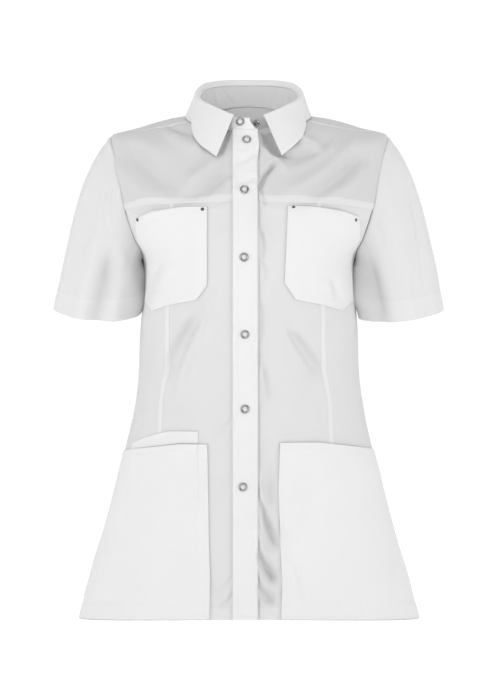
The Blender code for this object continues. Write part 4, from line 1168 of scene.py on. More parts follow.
def cloth_material():
    """White twill: brighter where layers of cloth lie over each other, with its weave, nap and wear, and
    darker where painted shade is set in its tone.
    """
    ready = bpy.data.materials.get("white_twill")
    if ready:
        return ready
    settings = bpy.context.scene.tunic_cloth
    sketch = NodeSketch(bpy.data.materials.new("white_twill"))
    weave = sketch.add("UVMap", uv_map="weave").outputs["UV"]
    plies = sketch.add("Attribute", attribute_name="plies").outputs["Fac"]
    cloudy = sketch.noise(sketch.place, 14.0, 3.0)
    slub = sketch.add("Mapping", {"Vector": weave, "Scale": (900.0, 40.0, 1.0)})
    threads = sketch.noise(slub.outputs[0], 1.0, 2.0)
    # Tones below 0 are painted shade, darker than one ply
    tone = sketch.mix(plies, (*settings.single_ply, 1), (*settings.double_ply, 1), clamp_factor=False)
    cloud = sketch.math("MULTIPLY_ADD", cloudy, 0.05, 0.955)
    thread = sketch.math("ADD", sketch.math("MULTIPLY", threads, 0.03), 0.985)
    shade = sketch.math("MULTIPLY", cloud, thread)
    grey = sketch.add("CombineColor", {0: shade, 1: shade, 2: shade}).outputs[0]
    twill = sketch.add("Mapping", {"Vector": weave, "Rotation": (0, 0, math.radians(63))})
    ribs = sketch.add(
        "TexWave", {"Vector": twill.outputs[0], "Scale": 0.314 / settings.twill_pitch, "Distortion": 0.6}
    )
    nap = sketch.noise(sketch.place, 700.0, 2.0)
    rumple = sketch.noise(sketch.place, 55.0, 3.0, Roughness=0.5)
    fine = sketch.math("ADD", sketch.math("MULTIPLY", ribs.outputs["Fac"], 0.5), nap)
    height = sketch.math("ADD", sketch.math("MULTIPLY", rumple, 4.0), sketch.math("MULTIPLY", fine, 0.25))
    sketch.bump(height, 0.35, 0.00025)
    sketch.shade({
        "Base Color": sketch.mix(1.0, tone, grey, blend_type="MULTIPLY"),
        "Roughness": sketch.spread(cloudy, 0.78, 0.92),
        "Sheen Weight": 0.12,
        "Sheen Roughness": 0.5,
        "Specular IOR Level": 0.25,
    })
    return sketch.owner


def thread_material():
    """White thread with a soft twist."""
    ready = bpy.data.materials.get("white_thread")
    if ready:
        return ready
    sketch = NodeSketch(bpy.data.materials.new("white_thread"))
    twist = sketch.noise(sketch.place, 1800.0, 1.0)
    colour = (*bpy.context.scene.tunic_sewing.thread_colour, 1)
    sketch.shade({"Base Color": sketch.mix(twist, (0.62, 0.62, 0.62, 1), colour), "Roughness": 0.55})
    sketch.bump(twist, 0.4, 0.0001)
    return sketch.owner


def metal_material(name, colour, dark, roughness):
    """Plated metal with fine turning marks, and darker where the plating is thin."""
    sketch = NodeSketch(bpy.data.materials.new(name))
    spots = sketch.noise(sketch.place, 900.0, 3.0)
    marks = sketch.noise(sketch.place, 4200.0, 1.0)
    sketch.bump(marks, 0.12, 0.00005)
    sketch.shade({
        "Base Color": sketch.mix(spots, (*dark, 1), (*colour, 1)),
        "Roughness": sketch.spread(spots, roughness - 0.08, roughness + 0.1),
        "Metallic": 1.0,
    })
    return sketch.owner


SIDES = {"right": -1, "left": 1}
BODY_STEP = 3.4 * MM
FINE_STEP = 2.6 * MM


class TUNIC_OT_back(bpy.types.Operator):
    """Back panel and the back yoke above it"""

    bl_idname = "tunic.back"
    bl_label = "Back and back yoke"

    def execute(self, context):
        back = sew_piece("cloth_back", back_place, PANEL_EDGES, step=3.9 * MM, plies=PANEL_TONE)
        back.stitch(rows=[HEM_STITCH])
        finish_cloth(back, "back")
        yoke = sew_piece(
            "cloth_back_yoke", back_yoke_place, {"bottom": BAND, "left": BAND, "right": BAND, "top": "under"},
            step=3.2 * MM, lift=0.15 * MM,
        )
        yoke.stitch(BOTH_SIDES, [NEAR_STITCH, FAR_STITCH])
        finish_cloth(yoke, "back_yoke")
        return {"FINISHED"}


def widened(place, amount, edge):
    """The same places, reaching past one edge by an amount in metres, to lap over what is there."""
    def wider(s, t):
        u, v = place(s, t)
        if edge == "left":
            first_u, first_v = place(np.zeros_like(s), t)
            reach = np.linalg.norm(surface(first_u + 0.5, first_v) - surface(first_u - 0.5, first_v), axis=-1)
            far_u = place(np.ones_like(s), t)[0]
            return u - np.sign(far_u - first_u) * amount / reach * (1 - s), v
        low_u, low_v = place(s, np.zeros_like(t))
        rise = np.linalg.norm(surface(low_u, low_v + 0.05) - surface(low_u, low_v - 0.05), axis=-1) / 0.1
        return u, v - amount / rise * (1 - t)

    return wider


def neck_hollow(u, v, distances):
    """The neck's opening falls in beside the top placket."""
    x, z = seen(surface(u, v))
    return crease_height(NECK_HOLLOWS, x, z) * soft_step((z + 70 * MM) / (20 * MM))


class TUNIC_OT_fronts(bpy.types.Operator):
    """Centre and side panels of both fronts, joined by the felled princess seams"""

    bl_idname = "tunic.fronts"
    bl_label = "Front panels"

    def execute(self, context):
        for word, side in SIDES.items():
            centre = sew_piece(
                f"cloth_front_centre_{word}", partial(front_centre_place, side), PANEL_EDGES,
                step=BODY_STEP, plies=PANEL_TONE,
            )
            centre.stitch(rows=[HEM_STITCH])
            finish_cloth(centre, f"front_centre_{word}")
            panel = sew_piece(
                f"cloth_front_side_{word}", widened(partial(front_side_place, side), PRINCESS_LAP, "left"),
                {**PANEL_EDGES, "left": SEAM_BAND}, step=BODY_STEP, lift=0.1 * MM, plies=PANEL_TONE,
            )
            panel.stitch([NEAR_STITCH, FAR_STITCH], [HEM_STITCH])
            finish_cloth(panel, f"front_side_{word}")
        return {"FINISHED"}


class TUNIC_OT_yokes(bpy.types.Operator):
    """Front yokes, lapped over the front panels at the chest seam"""

    bl_idname = "tunic.yokes"
    bl_label = "Front yokes"

    def execute(self, context):
        for word, side in SIDES.items():
            yoke = sew_piece(
                f"cloth_front_yoke_{word}", widened(partial(front_yoke_place, side), CHEST_LAP, "bottom"),
                {"bottom": CHEST_BAND, "top": "under", "left": "under", "right": "under"},
                step=2.8 * MM, lift=0.5 * MM, extra=neck_hollow,
            )
            yoke.stitch(rows=[NEAR_STITCH, FAR_STITCH])
            finish_cloth(yoke, f"front_yoke_{word}")
        return {"FINISHED"}


def placket_place(right_edge, left_edge, s, t):
    low, high = low_and_high(t, PLACKET_LOW_SHARE)
    v = np.where(high > 0, lerp(ARMPIT, NECK, high), low_ring(low))
    return lerp(right_edge(v), left_edge(v), s), v


def placket_stand_off(u, v, distances):
    """How the top placket stands off the one below: unevenly at its free edge, and at the neck."""
    height = ring_at(v)[0]
    uneven = 0.55 + 0.45 * np.sin(height * 31 + 0.6) * np.sin(height * 67)
    free = bell(distances["right"], 9 * MM)
    across = pucker(height, 4) * np.clip((height + 0.14) / 0.03, 0, 1)
    top = 0.9 * MM * soft_step((height + 36 * MM) / (12 * MM))
    seam = 0.5 * MM * bell(distances["left"], 6 * MM)
    return 1.6 * MM * uneven * free + 0.35 * MM * across + top + seam


class TUNIC_OT_plackets(bpy.types.Operator):
    """Under placket of the left front and the stitched top placket of the right front"""

    bl_idname = "tunic.plackets"
    bl_label = "Plackets"

    def execute(self, context):
        place = partial(placket_place, lambda v: -placket_angle(-1, v), partial(placket_angle, 1))
        under = sew_piece(
            "cloth_placket_left", place, {"left": "under", "right": "under", "bottom": "hem"},
            step=BODY_STEP, plies=0.8, thickness=1.3 * MM, extra=neck_hollow,
        )
        under.stitch([-1 - NEAR_STITCH])
        finish_cloth(under, "placket_left")
        heights = seen(surface(np.zeros(RING_STEPS.shape), RING_STEPS))[1] * 1000
        edges = (PLACKET_OUTER_EDGE, straight_read(PLACKET_EDGE, heights, 1) * MM)
        right, left = (partial(np.interp, xp=RING_STEPS, fp=angle_at_x(RING_STEPS, x)) for x in edges)
        top = sew_piece(
            "cloth_placket_right", partial(placket_place, right, left),
            {"left": "fold", "right": "fold", "bottom": "hem"}, step=2.4 * MM, plies=1.0,
            lift=TOP_PLACKET_LIFT + PATCH_RISE, thickness=1.2 * MM, extra=placket_stand_off,
        )
        top.stitch(BOTH_SIDES)
        finish_cloth(top, "placket_right")
        return {"FINISHED"}


def stand_turn(u):
    """Sine and cosine of angles round the stand's top, and how deep it is there."""
    sine, cosine = sine_cosine(u)
    return sine, cosine, np.where(cosine >= 0, STAND_TOP_FRONT, STAND_TOP_BACK)


def stand_outward(u):
    sine, cosine, depth = stand_turn(u)
    return unit(np.stack([sine / STAND_TOP_WIDTH**2, -cosine / depth**2, np.zeros_like(sine)], axis=-1))


def stand_point(u, t, offset):
    """Points of the collar stand's outer face: t is 0 at the neck seam and 1 at its top."""
    base = surface(u, np.full(np.shape(u), NECK))
    sine, cosine, depth = stand_turn(u)
    radius = ((sine / STAND_TOP_WIDTH) ** 2 + (cosine / depth) ** 2) ** -0.5
    height = smooth_read(STAND_TOP, np.abs(wrapped(u)), 1) * MM
    top = np.stack([radius * sine, -radius * cosine, height], axis=-1)
    return lerp(base, top, np.asarray(t)[..., None]) + stand_outward(u) * np.asarray(offset)[..., None]


def lap_offset(u):
    """The stand's right end lies over its left end: its offset fades round the right side."""
    return STAND_LAP * (1 - soft_step((STAND_START - u) / 70.0))


def leaf_edge(u):
    """Points of the collar leaf's outer edge, for its columns u."""
    turn = wrapped(u)
    angle = np.abs(turn)
    side = np.where(turn > 0, 1, -1)
    front = np.minimum(angle, LEAF_FRONT_END)
    x, z = (
        np.where(side > 0, smooth_read(LEAF_LEFT, front, k), smooth_read(LEAF_RIGHT, front, k)) * MM
        for k in (1, 2)
    )
    edge_u, edge_v = locate(x, z)
    t = np.clip((angle - LEAF_FRONT_END) / (180 - LEAF_FRONT_END), 0, 1)
    back_u = side * lerp(np.abs(edge_u), 180.0, t)
    back_v = lerp(edge_v, smooth_read(LEAF_BACK, np.maximum(angle, LEAF_FRONT_END), 1), soft_step(t * 3))
    behind = angle > LEAF_FRONT_END
    place_u = np.where(behind, back_u, edge_u)
    place_v = np.where(behind, back_v, edge_v)
    lift = LEAF_LIFT - LEAF_SIDE_DROP * bell(angle - 86, 26)
    lift = lift - LEAF_BACK_DROP * soft_step((angle - 95) / 35)
    return surface(place_u, place_v) + outward_at(place_u, place_v) * lift[..., None]


def collar_waves(u, share):
    """Low waves of the worn collar, in metres."""
    turn = np.radians(u)
    return 0.35 * MM * (np.sin(turn * 5 + 2.5 * share) + 0.7 * np.sin(turn * 11 - 3 * share + 1))


class TUNIC_OT_collar(bpy.types.Operator):
    """Collar stand with its lapped ends, and the turned-down collar"""

    bl_idname = "tunic.collar"
    bl_label = "Collar"

    def execute(self, context):
        self.make_stand()
        self.make_fall()
        return {"FINISHED"}

    def make_stand(self):
        heights = np.concatenate([[0, 0.02, 0.06], np.linspace(0.12, 0.9, 12), [0.95, 0.985, 1.0]])
        start_steps = np.array([0.0, 0.3, 0.7, 1.4, 2.4, 3.8, 5.4, 7.5, 9.5])
        middle = np.linspace(-2.0, STAND_END + 9.5, 170)
        u = np.concatenate([STAND_START - start_steps, middle, STAND_END + start_steps[::-1]])
        u, t = np.meshgrid(u, heights)
        start = straight_read(STAND_RIGHT_END, t, 1)
        near_start = np.clip((u - STAND_START + 9.5) / 9.5, 0, 1)
        u = np.where(near_start > 0, lerp(STAND_START - 9.5, start, near_start), u)
        near_end = np.clip((STAND_END + 6.0 - u) / 6.0, 0, 1)
        drop = STAND_END_DROP * t**3 * (soft_step(near_start * 1.6 - 0.6) + soft_step(near_end))
        offset = lap_offset(u)
        rounded = rounded_edge((1 - t) * 30 * MM, 0.8 * MM, 0.5 * MM)
        turn = wrapped(u)
        recess = STAND_RECESS * np.where((u < -200) & (turn > -8), soft_step((70 - np.abs(turn)) / 60), 0)
        behind = soft_step((np.abs(turn) - 60) / 40)
        radians = np.radians(u)
        creased = -1.5 * MM * (1 + pucker(radians * 0.023 + 0.009 * t * np.sin(3 * radians), 3))
        creased = creased * np.sin(math.pi * t) * behind
        fall = drop[..., None] * np.array([0.0, 0.0, -1.0])
        outer = stand_point(u, t, offset + rounded - recess) + fall
        inner = stand_point(u, t, offset - STAND_THICKNESS - rounded - recess + creased) + fall
        # Darker round the back; the left end is painted shade, where it lies recessed under the collar leaf
        plies = 1 - 0.75 * behind - 1.7 * recess / STAND_RECESS
        stand = Cloth("cloth_collar_stand", outer, inner, stand_outward(u), plies)
        stand.stitch(rows=[2, -3])
        finish_cloth(stand, "collar_stand")

    def make_fall(self):
        ends = np.array([0.0, 0.06, 0.16, 0.34, 0.65, 1.1, 1.7, 2.3, 3.0])
        middle = np.linspace(-FALL_START - 4.0, FALL_START - 356.0, 168)
        u = np.concatenate([-FALL_START - ends, middle, (FALL_START - 360 + ends)[::-1]])
        back_share = soft_step((np.abs(wrapped(u)) - FALL_START) / 75.0)
        rise = lerp(0.6 * MM, 4.5 * MM, back_share)
        radius = lerp(3.4 * MM, 4.4 * MM, back_share)
        outward = stand_outward(u)
        base = stand_point(u, np.ones_like(u), lap_offset(u) - STAND_THICKNESS)
        base[:, 2] += 0.35 * MM
        rows = [base]
        up = np.array([0.0, 0.0, 1.0])
        arc_steps = 12
        for step in range(arc_steps + 1):
            angle = math.pi * (1 - step / arc_steps)
            out = radius * (1 + math.cos(angle))
            high = rise + radius * math.sin(angle)
            rows.append(base + outward * out[:, None] + up * high[:, None])
        fold_end = rows[-1]
        edge = leaf_edge(u)
        depth = np.linalg.norm(edge - fold_end, axis=1)
        shares = stations(depth, 2.6 * MM, (0.0, 1.5 * MM, 3.0 * MM), EDGE)
        for column in range(1, shares.shape[1]):
            t = shares[:, column]
            bulge = lerp(3.0, 1.0, back_share) * MM * np.sin(math.pi * t) * (1 - 0.5 * t)
            bulge = bulge + collar_waves(u, t) * np.sin(math.pi * np.minimum(t * 1.2, 1))
            point = lerp(fold_end, edge, t[:, None]) + outward * bulge[:, None]
            rows.append(point - up * (2.0 * MM * np.sin(math.pi * t))[:, None])
        points = np.stack(rows)
        normals = grid_normals(points)
        middle_column = len(u) // 2
        if normals[arc_steps + 4, middle_column] @ np.array([0, 1, 0]) < 0:
            normals = -normals
        leaf = np.zeros(points.shape[:2])
        distance = (1 - shares.T[1:]) * depth
        leaf[-len(distance):] = rounded_edge(distance, 0.8 * MM, 0.5 * MM)
        leaf[-len(distance):] += stitch_dip(distance, EDGE[FAR_STITCH])
        end_distance = np.minimum(np.abs(u + FALL_START), np.abs(u - FALL_START + 360)) * 1.9 * MM
        leaf += rounded_edge(end_distance, 0.8 * MM, 0.5 * MM)[None]
        outer = points + normals * leaf[..., None]
        inner = points - normals * (LEAF_THICKNESS + leaf)[..., None]
        fall = Cloth("cloth_collar_fall", outer, inner, normals, np.ones(leaf.shape))
        fall.stitch(rows=[-1 - FAR_STITCH], part=slice(7, -7))
        fall.stitch(columns=[7, -8], part=slice(arc_steps + 2, -FAR_STITCH))
        finish_cloth(fall, "collar_fall")


def armhole_loop(side):
    """Points of the armhole seam and their angles round the cuff, from under the arm, front first."""
    share = np.linspace(0, 1, 70)
    front_rings = by_index(FRONT_ARM_RINGS + ARMHOLE_FRONT_HIGH, share)
    back_rings = by_index(ARMHOLE_BACK[:-1] + tuple(reversed(ARMHOLE_YOKE)), share[::-1])[1:-1]
    u = np.concatenate([armhole_front(front_rings), armhole_back(back_rings)])
    v = np.concatenate([front_rings, back_rings])
    u[0] = 90.0
    loop = surface(side * u, v)
    lengths = np.linalg.norm(np.roll(loop, -1, axis=0) - loop, axis=1)
    reached = np.concatenate([[0.0], np.cumsum(lengths)])[:-1]
    top = reached[69]
    whole = lengths.sum()
    shares = np.where(reached <= top, 0.5 * reached / top, 0.5 + 0.5 * (reached - top) / (whole - top))
    return loop, shares * 360.0


def sleeve_grid(word, side):
    """Outer points of a sleeve, armhole to cuff, with their distances from both ends."""
    start, angle = armhole_loop(side)
    sine, cosine = (part[:, None] for part in sine_cosine(angle))
    centre = np.array(CUFF_CENTRE)
    end = centre - np.array(CUFF_ACROSS) * cosine + np.array(CUFF_FORWARD) * sine
    end[:, 0] *= side
    end[:, 2] += CUFF_INNER_RISE[word] * bell(wrapped(angle), 48)
    height = (1 - cosine) / 2
    leave = [side * lerp(0.50, 0.75, height), -0.05 * sine, -lerp(0.86, 0.66, height)]
    arrive = [side * lerp(0.0, 0.20, height), 0 * height, -np.ones_like(height)]
    span = np.linalg.norm(end - start, axis=1, keepdims=True)
    leave = unit(np.concatenate(leave, axis=1)) * span * lerp(0.9, 0.72, height)
    arrive = unit(np.concatenate(arrive, axis=1)) * span * lerp(0.9, 0.85, height)
    shares = stations(span[:, 0] * 1.04, 3.0 * MM, EDGE, CUFF_HEM)
    t = shares.T[..., None]
    points = (
        start * (2 * t**3 - 3 * t**2 + 1)
        + leave * (t**3 - 2 * t**2 + t)
        + end * (3 * t**2 - 2 * t**3)
        + arrive * (t**3 - t**2)
    )
    axis_x = np.array([side * centre[0], centre[1], centre[2]])
    inward = unit(axis_x - end)
    down = shares.T
    depth = np.zeros(down.shape)
    for fold_angle, fold_start, fold_end, breadth, fold_depth in SLEEVE_FOLDS:
        fade = np.sin(math.pi * np.clip((down - fold_start) / (fold_end - fold_start), 0, 1))
        depth += fold_depth * fade * bell(wrapped(angle - 90 - fold_angle), breadth)
    creases = (*SLEEVE_CREASES[word], SLEEVE_UNDERSIDE)
    for first, last, crease_start, crease_end, breadth, crease_depth in creases:
        share = (down - crease_start) / (crease_end - crease_start)
        line = lerp(first, last, np.clip(share, 0, 1))
        fade = soft_step(share * 3) * soft_step((1 - share) * 3)
        depth += crease_depth * fade * bell(wrapped(angle - 90 - line), breadth)
    points = points + inward * depth[..., None]
    lengths = span[:, 0] * 1.04
    return points, angle, down * lengths, (1 - down) * lengths


class TUNIC_OT_sleeves(bpy.types.Operator):
    """Short sleeves with deep turned hems"""

    bl_idname = "tunic.sleeves"
    bl_label = "Sleeves"

    def execute(self, context):
        for word, side in SIDES.items():
            points, angle, from_armhole, from_hem = sleeve_grid(word, side)
            normals = grid_normals(points, closed=True)
            middle = points.mean(axis=1, keepdims=True)
            if np.sum((points - middle) * normals) < 0:
                normals = -normals
            around = np.radians(angle)[None] * 0.06
            hem = 1 - soft_step((from_hem - CUFF_HEM_DEPTH + 0.4 * MM) / (1.2 * MM))
            top = (1 - sine_cosine(angle)[1]) / 2
            height = 0.3 * MM * hem + stitch_dip(from_hem, CUFF_HEM[CUFF_STITCH])
            height += 0.25 * MM * pucker(around * 0.6, side) * bell(from_hem - 30 * MM, 6 * MM)
            height += 1.0 * MM * bell(from_armhole - 7 * MM, 6 * MM) * top
            height -= lerp(0.35, 1.1, top) * MM * bell(from_armhole, 1.1 * MM)
            height += 0.2 * MM * pucker(around, side + 2) * bell(from_armhole, 9 * MM)
            depth = context.scene.tunic_cloth.crease_depth
            height += waves(points) * soft_step(from_armhole / (20 * MM)) * depth
            outer = points + normals * height[..., None]
            inner = outer - normals * (THIN_CLOTH + THIN_CLOTH * hem)[..., None]
            tone = SLEEVE_TONE + HEM_TONE * hem
            sleeve = Cloth(f"cloth_sleeve_{word}", outer, inner, normals, tone, closed=True)
            row = -1 - CUFF_STITCH
            sleeve.stitches.append([
                np.append(grid[row], grid[row][:1], axis=0) for grid in (sleeve.points, sleeve.outward)
            ])
            finish_cloth(sleeve, f"sleeve_{word}")
        return {"FINISHED"}


def outline(corners, share):
    """Places along straight lines through corners, as seen, at shares of their length."""
    corners = np.array(corners) * MM
    reached = run_lengths(corners)
    where = np.asarray(share) * reached[-1]
    flat = where.ravel()
    u, v = locate(np.interp(flat, reached, corners[:, 0]), np.interp(flat, reached, corners[:, 1]))
    return u.reshape(where.shape), v.reshape(where.shape)


def tabled(edge):
    """An edge read from places found once at even shares."""
    shares = np.linspace(0, 1, 241)
    u, v = edge(shares)
    return lambda share: (np.interp(share, shares, u), np.interp(share, shares, v))


def chest_pocket_place(word):
    side = SIDES[word]
    corners = CHEST_POCKETS[word]
    outer_u = side * CHEST_POCKET_OUTER_ANGLE

    def bottom_edge(share):
        u, v = outline(corners["bottom"], share)
        last_start = 0.86
        pull = np.clip((share - last_start) / (1 - last_start), 0, 1)
        return lerp(u, outer_u, pull**2), v

    bottom = tabled(bottom_edge)
    top = tabled(lambda share: outline(corners["top"], share))
    left = tabled(lambda share: outline((corners["bottom"][0], corners["top"][0]), share))
    low = bottom(np.array(1.0))
    high = top(np.array(1.0))

    def right(share):
        return lerp(low[0], high[0], share), lerp(low[1], high[1], share)

    return lambda s, t: coons(bottom, top, left, right, s, t)


def chest_gape(u, v, distances):
    """A chest pocket's fullness, most at its mouth."""
    mouth = bell(distances["top"], 26 * MM)
    between = np.clip(distances["left"] * distances["right"] / (50 * MM) ** 2, 0, 1)
    full = np.clip(distances["bottom"] / (30 * MM), 0, 1) * between
    return 1.5 * MM * mouth * between + 0.9 * MM * full


def hip_gape(word, u, v, distances):
    """A hip pocket's fullness at its mouth, and the right one's print of the phone pocket."""
    left = np.clip(distances["left"] / (50 * MM), 0, 1)
    right = np.clip(distances["right"] / (60 * MM), 0, 1)
    height = 1.3 * MM * bell(distances["top"], 40 * MM) * (left * right)
    return height + phone_print(u, v) if word == "right" else height


class TUNIC_OT_chest_pockets(bpy.types.Operator):
    """Patch pockets on the chest, with their folded and double-stitched edges"""

    bl_idname = "tunic.chest_pockets"
    bl_label = "Chest pockets"

    def execute(self, context):
        for word in SIDES:
            pocket = sew_piece(
                f"cloth_chest_pocket_{word}", chest_pocket_place(word),
                dict.fromkeys(("left", "right", "bottom", "top"), "fold"), step=FINE_STEP, plies=1.0,
                lift=POCKET_LIFT + PATCH_RISE, thickness=1.1 * MM, extra=chest_gape,
            )
            pocket.stitch([NEAR_STITCH, -1 - NEAR_STITCH], [NEAR_STITCH, -1 - FAR_STITCH])
            finish_cloth(pocket, f"chest_pocket_{word}")
        return {"FINISHED"}


def hip_pocket_top(word, u):
    """Ring of a hip pocket's top edge at an angle."""
    side = SIDES[word]
    top_inner = HIP_POCKET_TOP_INNER[word] * MM
    inner_v = bisect(0.0, ARMPIT, lambda v: seen(surface(np.array(side * 25.0), v))[1] - top_inner)
    outer_v = bisect(0.0, ARMPIT, lambda v: ring_at(v)[1] - HIP_POCKET_TOP_OUTER[word] * MM)
    return lerp(inner_v, outer_v, np.clip((np.abs(u) - 45) / 40, 0, 1))


def hip_pocket_place(word):
    side = SIDES[word]
    rings = np.linspace(0, 6, 120)

    def inner_miss(u):
        x, z = seen(surface(u, rings))
        return x - straight_read(HIP_POCKET_INNER[word], z * 1000, 1) * MM

    inner_angles = bisect(np.full(120, side * 8.0), np.full(120, side * 45.0), inner_miss)
    clear = POCKET_HEM_CLEARANCE / ((RINGS[1][1] - RINGS[0][1]) * MM)

    def place(s, t):
        u = lerp(side * 20.0, side * HIP_POCKET_OUTER_ANGLE, s)
        for _ in range(4):
            v = lerp(clear, hip_pocket_top(word, u), t)
            u = lerp(np.interp(v, rings, inner_angles), side * HIP_POCKET_OUTER_ANGLE, s)
        return u, v

    return place


class TUNIC_OT_hip_pockets(bpy.types.Operator):
    """Large patch pockets on the hips, and the phone pocket behind the right one"""

    bl_idname = "tunic.hip_pockets"
    bl_label = "Hip and phone pockets"

    def execute(self, context):
        for word in SIDES:
            pocket = sew_piece(
                f"cloth_hip_pocket_{word}", hip_pocket_place(word),
                {"left": "fold", "right": "under", "top": "fold", "bottom": "hem"}, step=3.2 * MM, plies=1.0,
                lift=HIP_POCKET_LIFT + 1.2 * MM, thickness=1.1 * MM, extra=partial(hip_gape, word),
                rims={"left": HIP_EDGE},
            )
            pocket.stitch([NEAR_STITCH, FAR_STITCH], [-1 - FAR_STITCH, HEM_STITCH])
            finish_cloth(pocket, f"hip_pocket_{word}")
        self.make_phone_pocket()
        return {"FINISHED"}

    def make_phone_pocket(self):
        inner_u, top_v = locate(PHONE_POCKET_INNER * MM, PHONE_POCKET_TOP * MM)

        def place(s, t):
            u = lerp(inner_u[0], -PHONE_POCKET_OUTER_ANGLE, s)
            low = hip_pocket_top("right", u) + 0.01
            fall = PHONE_POCKET_SLOPE * np.clip(s * 1.6 - 0.6, 0, 1) ** 1.5
            return u, lerp(low, np.maximum(top_v[0] - fall, low + 0.012), t)

        phone = sew_piece(
            "cloth_phone_pocket", place, dict.fromkeys(("left", "right", "top"), "fold"),
            step=2.2 * MM, plies=1.0, lift=PHONE_POCKET_LIFT + PATCH_RISE, thickness=0.8 * MM,
            rims={"bottom": (0, 2 * MM)},
        )
        phone.stitch([NEAR_STITCH], [-1 - FAR_STITCH])
        finish_cloth(phone, "phone_pocket_right")


def phone_print(u, v):
    """The phone pocket's inner edge and bottom press through the hip pocket over them."""
    x, z = seen(surface(u, v))
    inside_x = soft_step((PHONE_POCKET_INNER * MM - x) / (1.4 * MM))
    inside_z = soft_step((z - PHONE_POCKET_BOTTOM * MM) / (9.0 * MM))
    fade = bell(x - PHONE_POCKET_INNER * MM, 60 * MM)
    return 1.7 * MM * inside_x * inside_z * fade


def turned(name, profile, sides, place, axis, lobes=0.0):
    """A turned piece of metal; lobes shapes its inner edge into five soft lobes."""
    place = np.asarray(place)
    axis = unit(np.asarray(axis))
    first = unit(np.cross(axis, [0.0, 0.0, 1.0]))
    second = np.cross(axis, first)
    angle = np.linspace(0, 2 * math.pi, sides, endpoint=False)
    flat = np.cos(angle)[:, None] * first + np.sin(angle)[:, None] * second
    rings = []
    smallest = min(radius for radius, height in profile)
    for radius, height in profile:
        reach = radius * (1 + lobes * np.cos(5 * angle) * (1 if radius <= smallest * 1.25 else 0))
        rings.append(place + flat * reach[:, None] + axis * height)
    vertices = np.concatenate(rings)
    faces = []
    count = len(profile)
    closed = smallest > 1e-6
    for ring in range(count if closed else count - 1):
        low = ring * sides
        high = (ring + 1) % count * sides
        for k in range(sides):
            after = (k + 1) % sides
            faces.append((low + k, low + after, high + after, high + k))
    return new_piece(name, vertices, faces, 60)


def arc_profile(points, steps=3):
    """A closed profile of radius and height, rounded through its points."""
    points = np.array(points)
    rounded = []
    count = len(points)
    for index in range(count):
        before, here, after = points[index - 1], points[index], points[(index + 1) % count]
        for step in range(steps):
            t = step / steps
            start = (before + here) / 2
            end = (here + after) / 2
            rounded.append(tuple((1 - t) ** 2 * start + 2 * t * (1 - t) * here + t * t * end))
    return rounded


def finish_metal(piece, node, material):
    piece.data.materials.append(material)
    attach(piece, "root")
    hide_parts(node)


def stand_place(angle, lift):
    """Point and outward direction on the collar stand's outer face."""
    u = np.array([angle])
    t = np.array([COLLAR_SNAP_HEIGHT_SHARE])
    lift = lift - (STAND_RECESS if angle < -200 else 0)
    here = stand_point(u, t, lap_offset(u))[0]
    along = stand_point(u + 1.0, t, lap_offset(u + 1.0))[0] - here
    up = stand_point(u, t + 0.2, lap_offset(u))[0] - here
    out = unit(np.cross(along, up))
    if out @ stand_outward(u)[0] < 0:
        out = -out
    return here + out * lift, out


RING_LOBES = 0.07
RING_INNER_SHARE = 0.52
# Profiles of radius and height: the stud's in metres, a rivet's in shares of its radius and in mm
STUD_PROFILE = tuple((radius * MM, height * MM) for radius, height in (
    (0, 2.3), (0.9, 2.15), (1.6, 1.6), (1.9, 0.4), (2.7, 0.3),
    (3.5, 1.2), (4.3, 1.2), (4.7, 0.5), (4.5, -0.3), (0, -0.3),
))
RIVET_PROFILE = (
    (0, 0.8), (0.3, 0.78), (0.45, 0.6), (0.55, 0.75), (0.78, 0.85), (0.95, 0.55), (1, 0.1),
    (0.95, -0.3), (0, -0.3),
)


class TUNIC_OT_snaps(bpy.types.Operator):
    """Ring snaps of the placket and the collar stand, and the stud of its other end"""

    bl_idname = "tunic.snaps"
    bl_label = "Snaps"

    def execute(self, context):
        settings = context.scene.tunic_metal
        metal = metal_material("nickel_ring", settings.ring_colour, settings.ring_shadow, 0.24)
        outer = settings.ring_radius
        inner = outer * RING_INNER_SHARE
        profile = arc_profile((
            (inner, -0.3 * MM), (outer * 0.98, -0.3 * MM), (outer, 0.35 * MM), (outer * 0.93, 0.95 * MM),
            (outer * 0.78, 1.2 * MM), (inner * 1.15, 0.8 * MM), (inner * 0.98, 0.1 * MM),
        ))
        for number, (x, z) in enumerate(SNAPS, 1):
            place, out = body(*locate(x * MM, z * MM), TOP_PLACKET_LIFT + 1.75 * MM)
            ring = turned(f"ring_snap_{number}", profile, 60, place[0], out[0], RING_LOBES)
            finish_metal(ring, f"snap_{number}", metal)
        ring = turned("ring_snap_collar", profile, 60, *stand_place(COLLAR_SNAP_ANGLE, 0.2 * MM), RING_LOBES)
        finish_metal(ring, "snap_collar", metal)
        worn = metal_material("worn_nickel", settings.ring_colour, settings.dark_plating, 0.25)
        stud = turned("stud_collar", STUD_PROFILE, 48, *stand_place(COLLAR_STUD_ANGLE, 0.2 * MM))
        finish_metal(stud, "snap_collar_stud", worn)
        return {"FINISHED"}


class TUNIC_OT_rivets(bpy.types.Operator):
    """Dark rivets at the chest pockets' top corners"""

    bl_idname = "tunic.rivets"
    bl_label = "Pocket rivets"

    def execute(self, context):
        settings = context.scene.tunic_metal
        dark = metal_material("dark_nickel", settings.rivet_colour, settings.dark_plating, 0.3)
        profile = [(radius * settings.rivet_radius, height * MM) for radius, height in RIVET_PROFILE]
        for number, (x, z) in enumerate(RIVETS, 1):
            place, out = body(*locate(x * MM, z * MM), POCKET_LIFT + 1.6 * MM)
            rivet = turned(f"pocket_rivet_{number}", profile, 40, place[0], out[0])
            finish_metal(rivet, f"rivet_{number}", dark)
        return {"FINISHED"}


